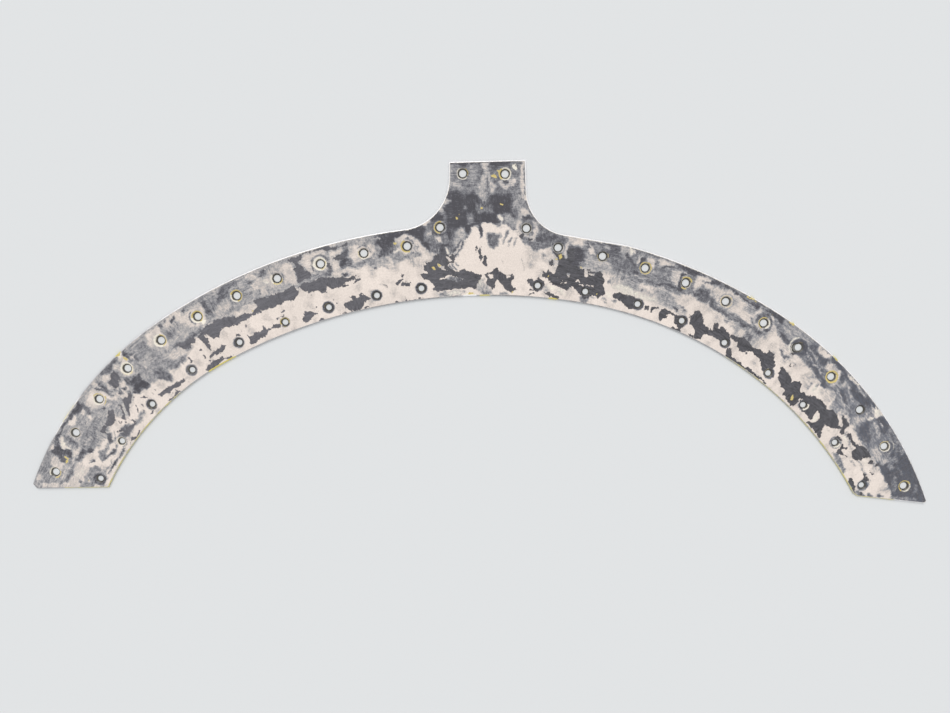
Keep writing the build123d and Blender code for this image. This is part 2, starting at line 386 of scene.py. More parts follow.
def net_points(spacing, margin, loop, mouths):
    """A staggered grid over the strip, less what comes within a margin of the
    loop or of a hole's mouth."""
    low, high = loop.min(0), loop.max(0)
    x = np.arange(low[0], high[0], spacing)
    y = np.arange(low[1], high[1], spacing * math.sqrt(3) / 2)
    grid = np.stack(np.meshgrid(x, y), -1)
    grid[1::2, :, 0] += spacing / 2
    grid = grid.reshape(-1, 2)
    _, inset = station_of(OUTER, grid)
    _, inner_inset = station_of(INNER, grid)
    # a quick choice first: within 1 mm of the strip, or near the stem
    near = (inset > -STEM_TALL) & (inner_inset < 1)
    near &= (inset > -1) | (np.abs(grid[:, 0]) < STEM_WIDE)
    grid = grid[near]
    distance, inside = to_loop(grid, loop)
    grid = grid[inside & (distance > margin)]
    for ring in mouths:
        close = np.abs(grid - ring.mean(0)).max(1) < SEAT_WIDE
        distance, inside = to_loop(grid[close], ring)
        drop = np.zeros(len(grid), bool)
        drop[close] = inside | (distance < margin)
        grid = grid[~drop]
    return grid


def filled(loop, mouths, spacing):
    """Points and triangles that fill a loop and leave its holes open: the boundary's
    points first, in the order given, then a net within it, joined so that no point
    lies inside the circle through another triangle's corners."""
    boundary = [loop] + list(mouths)
    sides, start = [], 0
    for ring in boundary:
        index = start + np.arange(len(ring))
        sides.append(np.stack([index, np.roll(index, -1)], -1))
        start += len(ring)
    free = net_points(spacing, spacing * 0.45, loop, mouths)
    points = np.concatenate(boundary + [free])
    _, _, faces, origin, _, _ = delaunay_2d_cdt(
        [Vector(p) for p in points], np.concatenate(sides).tolist(), [], 0, 1e-6)
    back = np.array([o[0] for o in origin])
    triangles = back[np.array(faces)]
    # a triangle with all its corners on the boundary may lie in a hole or outside
    rim = (triangles < start).all(1)
    middle = points[triangles[rim]].mean(1)
    keep = to_loop(middle, loop)[1]
    for ring in mouths:
        keep &= ~to_loop(middle, ring)[1]
    rim[rim] = ~keep
    triangles = triangles[~rim]
    # and all of them face up
    a, b, c = (points[triangles[:, i]] for i in range(3))
    ab, ac = b - a, c - a
    turned = ab[:, 0] * ac[:, 1] - ab[:, 1] * ac[:, 0] < 0
    triangles[turned] = triangles[turned][:, ::-1]
    return points, triangles


front_loop = inset_loop(outline, EDGE[0, 0])
front, front_faces = filled(front_loop, sinks[:, 0, :, :2], NET)
print("painted face:", len(front), "points,", len(front_faces), "triangles")

# %% The edge, the countersinks and the back, joined to the painted face
PAINTED, FILED, BORED, BACK = range(4)   # the four finishes


def bands(rows):
    """Quads between neighbouring closed rows of point numbers."""
    ahead = np.roll(rows, -1, 1)
    return np.stack([rows[:-1], ahead[:-1], ahead[1:], rows[1:]], -1).reshape(-1, 4)


count, mouths = len(outline), len(sinks) * RIM_POINTS
edge_rows = np.stack([np.column_stack([inset_loop(outline, inset), np.full(count, z)])
                      for inset, z in EDGE[1:]])
edge_index = len(front) + np.arange(edge_rows[..., 0].size).reshape(len(EDGE) - 1, count)
sink_start = len(front) + edge_index.size
deeper = sinks[:, 1:]
sink_index = sink_start + np.arange(deeper[..., 0].size).reshape(deeper.shape[:3])
mouth_index = count + np.arange(mouths).reshape(len(sinks), 1, RIM_POINTS)
sink_rows = np.concatenate([mouth_index, sink_index], 1)

back, back_faces = filled(edge_rows[-1, :, :2], sinks[:, -1, :, :2], BACK_NET)
back_start = sink_start + sink_index.size
back_index = np.concatenate([edge_index[-1], sink_index[:, -1].ravel(),
                             back_start + np.arange(len(back) - count - mouths)])
back_faces = back_index[back_faces][:, ::-1]

points = np.concatenate([
    np.column_stack([front, np.full(len(front), SHEET_T)]),
    edge_rows.reshape(-1, 3), deeper.reshape(-1, 3),
    np.column_stack([back[count + mouths:], np.zeros(len(back) - count - mouths)])])
edge_faces = bands(np.concatenate([np.arange(count)[None], edge_index]))
sink_faces = np.concatenate([bands(rows) for rows in sink_rows])
sink_bands = sinks.shape[1] - 1
band = np.arange(len(sink_faces)) // RIM_POINTS % sink_bands   # the last two are the bore
faces = sum((part.tolist() for part in (front_faces, edge_faces, sink_faces, back_faces)),
            [])
finish_of_face = np.concatenate([
    np.full(len(front_faces), PAINTED), np.full(len(edge_faces), FILED),
    np.where(band < sink_bands - 2, PAINTED, BORED), np.full(len(back_faces), BACK)])
triangles = len(front_faces) + len(back_faces) + 2 * (len(edge_faces) + len(sink_faces))
print("sheet:", len(points), "points,", triangles, "triangles")

# %% The sheet as a mesh
mesh = bpy.data.meshes.new("painted_retainer")
mesh.from_pydata((points * MM).tolist(), [], faces)
mesh.polygons.foreach_set("material_index", finish_of_face.astype(np.int32))
mesh.polygons.foreach_set("use_smooth", np.ones(len(faces), bool))
mesh.update()
mesh.set_sharp_from_angle(angle=math.radians(35))
retainer = bpy.data.objects.new("painted_retainer", mesh)
bpy.context.scene.collection.objects.link(retainer)
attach(retainer, "root")
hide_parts("windshield_retainer")
print("valid mesh:", not mesh.validate(verbose=False))

# %% [markdown]
# ## Every patch of paint, listed
#
# The patches are grouped by coat and place. FILM and WHITE rows hold strength, feather
# in millimetres and outline; SLATE rows hold 1 for coat left on or 0 for coat gone, and
# outline; YELLOW rows hold an outline only. An outline runs station, inset, station,
# inset and so on. Later rows lie over earlier ones.

# %% Patches on the stem and the crown
# The grey coat is thickest round the stem and crown, and almost gone in a fan below.
FILM_CENTRE = [
    (0.66, 1, [-21,-42, 27,-43, 28,-28, 31,-16, 36,-6, 44,-1, 56,2, 58,6, 54,9, 48,9, 46,11,
        40,13, 36,15, 32,12, 27,10, 24,4, 14,1, 0,-2, -6,2, -9,8, -12,10, -18,18, -24,20,
        -34,17, -40,11, -42,6, -46,4, -51,3, -57,5, -63,9, -63,-1, -45,-2, -36,-6, -28,-11,
        -23,-18, -21,-28]),
    (0.6, 2.2, [-19,-38, -14,-39, -14,-34, -15,-29, -12,-26, -8,-28, -8,-24, -12,-22,
        -18,-21, -20,-26]),
    (0.4, 1.2, [-18,-26, -14,-28, -11,-26, -12,-23, -16,-23]),
    (0.44, 0.9, [-19.5,-38, -17.5,-38, -17,-32, -18.5,-24, -20,-24]),
    (0.54, 1.6, [-9,-39, -5,-38, -3,-34, -3,-28, -5,-25, -7,-28, -7,-34]),
    (1, 0.8, [-19,-41, -1,-41, -1,-38, -8,-38.5, -11,-37, -14,-38.5, -18,-38]),
    (1, 1.4, [-21,-21, -15,-21, -10,-19, -5,-21, -3,-18, 0,-12, 3,-13, 6,-18, 12,-20,
        17,-20, 19,-15, 18,-11, 20,-8, 22,-6, 19,-5, 16,-7, 12,-7, 10,-6, 12,-3, 8,0, 2,-2,
        -3,1, -6,1, -8,6, -11,4, -14,2, -18,3, -22,0, -22,-6, -24,-10, -21,-13, -22,-18]),
    (0.62, 1.5, [-9,-8, -5,-7, -5,-1, -9,0]),
    (0.66, 1.4, [-4,-14, 6,-13, 8,-8, 2,-6, -3,-8]),
    (0.5, 0.8, [-11,-12, -9,-12, -9,-9.5, -11,-9.5]),
    (1, 0.9, [-33,-5, -29,-9, -26,-8, -24,-5, -28,-4, -31,-2.5]),
    (0.36, 1, [-25,-17, -21,-17, -18.5,-14.5, -21,-13.5, -25,-14]),
    (0.3, 1, [-28,-12.5, -24,-12.5, -23.5,-8.5, -26,-8.5]),
    (0.03, 0.6, [-44,-2.4, -40,-3.5, -35,-6, -32.3,-6.5, -33,-2.5, -35.5,-0.8, -37.5,-1.6,
        -43,-1]),
    (1, 0.8, [-62,0.6, -45,-0.6, -40,-1, -37,1, -37,6, -39,9, -43,6, -46,4.3, -51,3.2,
        -56,4.3, -60,7, -63,9]),
    (0.3, 1, [-36,3, -33,2.5, -32,5, -34,7.5]),
    (0.12, 0.9, [-30,7, -27,7, -26.5,10, -28,11.5, -30,9.5]),
    (0.95, 1, [-39,9, -36,9, -34,12, -35,15, -38,13]),
    (0.95, 1.2, [-27,11, -23,12, -22,17, -25,19, -28,16]),
    (0.95, 1, [-24,1, -20,0, -18,5, -20,9, -23,6]),
    (0.36, 1.5, [-17,5, -13,2, -10.5,4, -11,8, -14,11, -17,15, -18,12]),
    (0.18, 0.7, [-24,14, -22.6,13.5, -21.6,17, -21.6,19.6, -23.4,18.6]),
    # light streaks down the stem
    (0.3, 0.8, [-0.6,-40, 3,-40, 3.6,-34, 2.6,-28, 2,-22, 0,-22, -0.6,-28, 0.5,-33]),
    (0.36, 1.4, [-2.5,-25, 2.5,-24, 3.5,-17, 1,-14.5, -2,-18]),
    (0.28, 0.8, [2.8,-34, 4.6,-33, 5.6,-27, 8.8,-24, 8,-20.5, 5.2,-19.6, 4.4,-23, 4,-28]),
    (1, 0.8, [4,-40, 16,-41, 16,-39, 12,-37.5, 8,-36.6, 5,-37]),
    (0.85, 0.8, [5,-37, 9,-37, 8.5,-34, 6,-34]),
    (0.22, 0.8, [10.5,-29, 16,-30, 18,-27, 17,-24.5, 14,-23, 11.5,-24.5, 10,-27]),
    (0.22, 0.7, [17.5,-31, 20,-30, 19.6,-25.5, 18,-24.5]),
    (0.95, 0.7, [12.4,-28.4, 16,-28.8, 16,-26.4, 13.4,-26]),
    (0.5, 1.6, [19,-22, 24,-20, 27,-15, 29,-11, 25,-9, 21,-10, 19,-15]),
    (0.18, 0.6, [22.6,-42, 24,-42, 24.6,-34, 25,-28, 26,-22, 28.2,-16.5, 26.6,-16, 24,-21,
        23,-27, 22.4,-33]),
    (0.16, 0.9, [24,-10, 27,-12, 29,-10.6, 31,-8, 32.4,-6.8, 29,-7.4, 26,-7, 24,-7.5]),
    (0.35, 0.9, [23,-9, 26,-8, 26.5,-5, 23.5,-5]),
    (0.95, 1, [26,-6.5, 30,-7, 35,-3, 33,-2, 29,-5, 26,-5]),
    (0.08, 0.6, [10.4,-6.2, 12.6,-5.6, 14.2,-3.5, 12.8,-2.3, 11,-3.4]),
    (0.42, 1.3, [14,-8, 19,-7, 23,-2, 20,0, 15,-2]),
    (0.08, 0.6, [12,-1.7, 15,-0.7, 19,1.3, 21.4,3.2, 19,3.8, 15,1.8, 12.3,0.3]),
    (0.18, 1.2, [22,-4, 25,-4, 26,2, 30,5, 34,4, 34.5,0, 33,-3, 30,-4.5, 36,-4, 37,2,
        34.5,7, 27,6, 23,3]),
    (0.04, 0.6, [34,1.2, 35.6,2, 35.6,6, 34,8.4]),
    (0.03, 0.5, [35,-5.6, 38,-3.7, 39.4,-2.2, 37,-2.5]),
    (0.86, 0.8, [36,5, 42,2.5, 44,6, 40,8.5, 36,9]),
    (0.86, 0.8, [44,3.5, 50,3, 50,5, 46,7]), (0.3, 1, [56,1, 63,1.6, 63,5, 58,4.5]),
    # the disc left round the first hole of the left row
    (0.5, 1.1, [-60,8.5, -57,7.5, -55,9, -56,12, -52,15.5, -46,15.5, -41,15, -40.5,18,
        -47,19, -54,19.5, -60,22, -62,15]),
    (0.1, 0.6, [-60,12.2, -54,12.4, -54,13.6, -59,14]),
    (0.6, 0.4, [-48.4,5.8, -47.4,5.6, -44.6,8, -45.2,8.8]),
    (0.45, 0.4, [-44.8,9.4, -43.9,9.4, -43.4,13.2, -44.2,13.4]),
    (0.4, 0.4, [-42.6,10.2, -41.7,10.2, -41.4,12.6, -42.2,13]),
    (0.35, 0.5, [-46,20, -45,20, -45.6,23.4, -46.6,23]),
    (0.4, 1, [-35.6,17, -34,16.6, -33.6,19, -35,19]),
    # under the fan
    (0.7, 0.8, [-21,32.6, -15,33, -12,34.5, -17,36.5, -23,36, -26,34.5]),
    (0.34, 0.8, [-29,44, -26,42.5, -20,41.6, -13,41.4, -11,43, -14,45, -22,45.6, -28,45.4]),
    (0.6, 0.8, [-30,43, -25,42.4, -24,44.6, -27,46, -30,45]),
    (0.36, 1.2, [-3,35.5, 1,34.5, 5,38, 8,41, 5,44, -1,43.5, -3.5,41]),
    (0.62, 0.9, [0,42.8, 8,42.4, 10,44.4, 2,45.4]),
    (0.55, 0.9, [14,42.6, 20,43, 22,44.6, 14,45]),
    (0.26, 0.8, [28,21, 29.4,23, 31.4,27.4, 30.4,28, 28.6,25]),
    (0.3, 0.8, [23.5,31, 27,31.5, 27.5,33.5, 25,34]),
    (0.24, 0.9, [52,36, 60,37, 60,41, 55,40]),
]
SLATE_CENTRE = [
    (1, [-40,24.5, -38,22.5, -34,22, -33,20, -30,18.5, -29,16.5, -26,16.5, -25,14, -23,18,
        -21,19.5, -18,18.5, -16,20, -17,22, -19,24, -21,24, -22.5,25, -20,29, -16,29,
        -12,28, -11,27, -10.5,29.5, -9,30, -6,30, -2,31, 0.5,32, -0.5,35, -2,36, -2.5,41,
        -9,40.5, -13,40.5, -18,41.5, -24,41, -28,42, -33,41, -36,40, -34,39, -34.5,36,
        -36,34, -40,33.5, -42,31.5, -43,29.5, -41,29, -38,29.5, -36,28.5, -40,27]),
    (0, [-24,14, -22.6,13.5, -21.6,17, -21.6,19.6, -23.4,18.6]),
    (0, [-23.4,20.6, -21.6,20.4, -20.8,22.6, -22.6,23.2]),
    (0, [-30,23.8, -28,24.2, -26,25.8, -24.2,27.6, -27,27.9, -28.6,26.6, -30,25.2]),
    (0, [-29,32.9, -26,32.7, -21,32, -20,32.8, -15,33, -12,34.6, -17,36.2, -22,35, -26,34,
        -29,33.8]),
    (1, [-57,34.6, -53,33.8, -50.5,34, -50.2,37, -52.5,36.8, -54,35.9, -57,35.8]),
    (1, [-61,33, -59,32, -56,30.9, -55.4,31.7, -58,33.3, -59,34.6, -60.6,34]),
    (1, [-56.3,28.8, -54.4,28.3, -53.3,30, -54.5,29.8, -56,30]),
    (1, [-62.5,45.2, -60.4,45.6, -60.4,46.6, -62.5,46.6]),
    (1, [-56,45.4, -51,45.6, -47,45, -44,44.4, -42,45, -46,46.4, -56,46.4]),
    (1, [-1.5,15, -0.6,14.3, 0.5,17, 0.8,21, 0,23.2, -1.2,21, -1.8,18]),
    (1, [1.7,19, 2.6,19.3, 3.6,22, 3.7,25, 3,26.2, 2,24, 1.5,21.5]),
    (1, [-3.8,13, -3,13.3, -2.6,17, -3.1,18.3, -3.8,16]),
    (1, [24.7,4.5, 27,4, 28.4,6, 27.8,8.2, 26,8.2, 25,6.5]),
    (1, [31,6.6, 33.5,6.2, 34,7.6, 32,8.4]),
    (1, [3,31.2, 6,30, 8.5,29.3, 9,27.4, 11.5,27.8, 12,29.5, 15,30, 18,31, 22.6,31, 22.9,34,
        22,37.5, 24,39.3, 26.2,40, 24.5,41.2, 22,42.4, 19,41.5, 16.5,39, 14,36, 11,34.6,
        10,36, 11,39, 10,40.6, 8,40.2, 6,39, 4.4,38, 4,35, 3.4,33]),
    (0, [5,31.8, 7,31.3, 9,31.9, 8.6,33.3, 6,33.5]),
    (0, [17.4,31.7, 20.6,31.9, 21,32.9, 18.6,33]),
    (1, [54,14.5, 57,17, 58.6,15, 58,12, 60,10, 63,9, 63,30, 60.5,31, 58,31.6, 57,33,
        63,34.6, 63,36, 58,36.2, 54,34.6, 52,34.4, 49,32.6, 47,31.6, 43.5,30.6, 44,28.5,
        42.6,26.2, 45,27, 46,28.5, 47,26.4, 50,26.2, 51.8,27, 52.5,24.5, 53,21, 54,19,
        56,18, 53.5,17]),
    (1, [47,19.4, 49,18.9, 50,20, 50,23, 48.5,24, 47.4,22]),
    (1, [48.8,12.3, 50.5,14.5, 53,13.7, 55.5,14.4, 57,17.6, 54.5,18.6, 52,17.9, 50,15.6]),
    (0, [60.8,25, 62,25.4, 62,28.2, 61,27.6]),
    (0, [53.9,29.7, 54.8,29.7, 55.6,31.5, 54.7,31.5]),
    (0, [58,32.3, 60,31.6, 62.6,31.4, 62.4,32.5, 59,33]),
    (1, [41.6,16.9, 42.8,17, 42.6,18.2, 41.5,18]),
    (1, [33,34.5, 36,32.4, 39,33, 40,30.9, 41.5,31.3, 43,32.7, 46,33, 46.5,36, 45,38,
        43,39.6, 41,40.4, 35,40.4, 34.5,39.7, 38.5,39.4, 37.8,37.5, 36.5,38.6, 36,36,
        34.5,36]),
    (1, [46,40, 50,39.7, 55,40.9, 58.4,42, 56,43, 52,42.5, 48,42]),
    (1, [35,43.6, 36.2,42, 39.5,41.7, 41.5,42.5, 39.4,42.7, 37,42.8, 36,44.2]),
    # the bare tongues and scraper strokes of the fan
    (0, [-17.3,20.6, -12.2,9.8, -9,8.4, -8,7, -5,7.5, -3,10, -2,13, 0,14, 2,18, 0,29,
        -9,29.4, -12,27, -16,25.5, -18.4,23.4]),
    (0, [-21.6,25.4, -20.8,25.1, -18.2,28.8, -19,29.1]),
    (0, [-19.6,25.2, -18.9,25, -16.7,28.4, -17.4,28.8]),
    (1, [-3.8,13, -3,13.3, -2.6,17, -3.1,18.3, -3.8,16]),
    (1, [-1.5,15, -0.6,14.3, 0.5,17, 0.8,21, 0,23.2, -1.2,21, -1.8,18]),
    (1, [1.7,19, 2.6,19.3, 3.6,22, 3.7,25, 3,26.2, 2,24, 1.5,21.5]),
]
CUT_FILM_CENTRE = [
    (0, 0.5, [-6,3.5, -5,1.7, -3,1.9, -1,5, 0.2,9, 0.8,13.5, -0.5,13, -2.5,10, -4.5,7.5,
        -6,6]),
    (0.05, 0.35, [-0.7,-1, 0.1,-1, 1.8,8, 2.4,15, 1.6,15, 0.8,8]),
    (0, 0.5, [1,-2.2, 3,-1.7, 6,-0.7, 9,0.8, 11.2,2, 11.4,4, 12.3,6, 12.6,9, 11,12, 8,16,
        3,16, 1.6,9, 0.8,5, 0.3,1]),
    (0, 0.6, [12,6, 14,3.4, 16.4,4.4, 16,7, 14.6,11, 18,9, 19,5.5, 20.6,6, 19.5,11, 22,10,
        23.4,6, 25,9, 27,11, 32,14, 36,16, 44,13, 48,16, 46,26, 30,40, 20,30, 8,18, 10,13]),
    (0.55, 0.35, [14.2,11, 15,11, 17.4,5, 16.6,4.6]),
    (0.5, 0.35, [18.2,12.4, 19,12.4, 20.8,6.4, 20.1,6]),
    (0.45, 0.35, [21.6,12.4, 22.4,12.4, 24.2,7, 23.4,6.6]),
    (0, 0.35, [-16.8,18.2, -16,18.2, -11.6,10, -12.4,9.8]),
    (0.6, 0.35, [-15.8,18.4, -15.2,18.4, -11,10.2, -11.6,10]),
    (0, 0.5, [-15,20, -10.6,9.6, -8,7.2, -5,7.7, -3,10, 0,14, 0,28, -12,28]),
]
YELLOW_CENTRE = [
    [4.8,-31.2, 6.6,-31.3, 8.8,-30.3, 9.2,-29.4, 7.2,-29.3, 5.4,-30],
    [8.8,-34.2, 9.8,-34.6, 10.2,-33.2, 9.4,-32.6],
    [10.8,-14.1, 12.5,-14.2, 13.9,-12.8, 12.8,-12.3, 11.6,-13.2],
    [-0.8,-11.6, 0.8,-11.4, 0.8,-10.4, -0.7,-10.4],
    [-14.3,-7.2, -13.3,-7, -13.3,-6, -14.2,-6],
    [-16.3,-4.5, -15,-4.5, -15,-3.3, -16.2,-3.3],
    [-34.2,25.9, -32.6,25.8, -31,27.6, -32,28.2, -33.6,27.1],
    [-30,23.8, -28,24.2, -26.4,25.6, -27,26.6, -28.6,26, -30,25.2],
    [-58,7.4, -56.8,6.4, -55.4,8.2, -57,8.6],
    [52.4,15, 54,14.6, 55.2,16.4, 54.2,18, 53,16.6],
    [49.8,17.7, 52,18, 51.8,18.9, 50.4,18.9], [50,43.4, 53,42.6, 55.8,43, 53,44],
    [22.8,41.3, 23.8,41.3, 23.9,43, 22.9,43], [47.2,28.7, 48.3,28.5, 48.5,29.8, 47.3,30],
    [-10.5,43.9, -8,43.1, -5,43.5, -3.4,44.6, -6,44.4, -9,44.4],
]
WHITE_CENTRE = [
    (1, 0.5, [-12.4,44.8, -9,43.5, -6,43.7, -2.6,45.2, -6,46.4, -10,46.4]),
    (0.8, 0.7, [18,-38.6, 19.6,-39, 20.4,-36, 19.6,-34, 18,-35.6]),
    (0.5, 0.9, [47,35, 53,35, 60,37.5, 63,38, 63,41, 56,39, 48,37.5]),
    (0.5, 0.8, [-60,12.2, -54,12.4, -54,13.6, -59,14]),
    (0.5, 0.6, [-24,14, -22.6,13.5, -21.6,17, -21.6,19.6, -23.4,18.6]),
    (0.5, 0.7, [-29,44, -26,42.9, -20,42, -13,41.6, -14,44, -22,45]),
    (0.4, 1, [-3,35.5, 1,34.5, 3,39, -3,41]),
    (0.5, 0.7, [10.4,-6.2, 12.6,-5.6, 14.2,-3.5, 12.8,-2.3, 11,-3.4]),
]
print("patches on the stem and the crown:", sum(map(len, (FILM_CENTRE, SLATE_CENTRE,
    CUT_FILM_CENTRE, YELLOW_CENTRE, WHITE_CENTRE))))

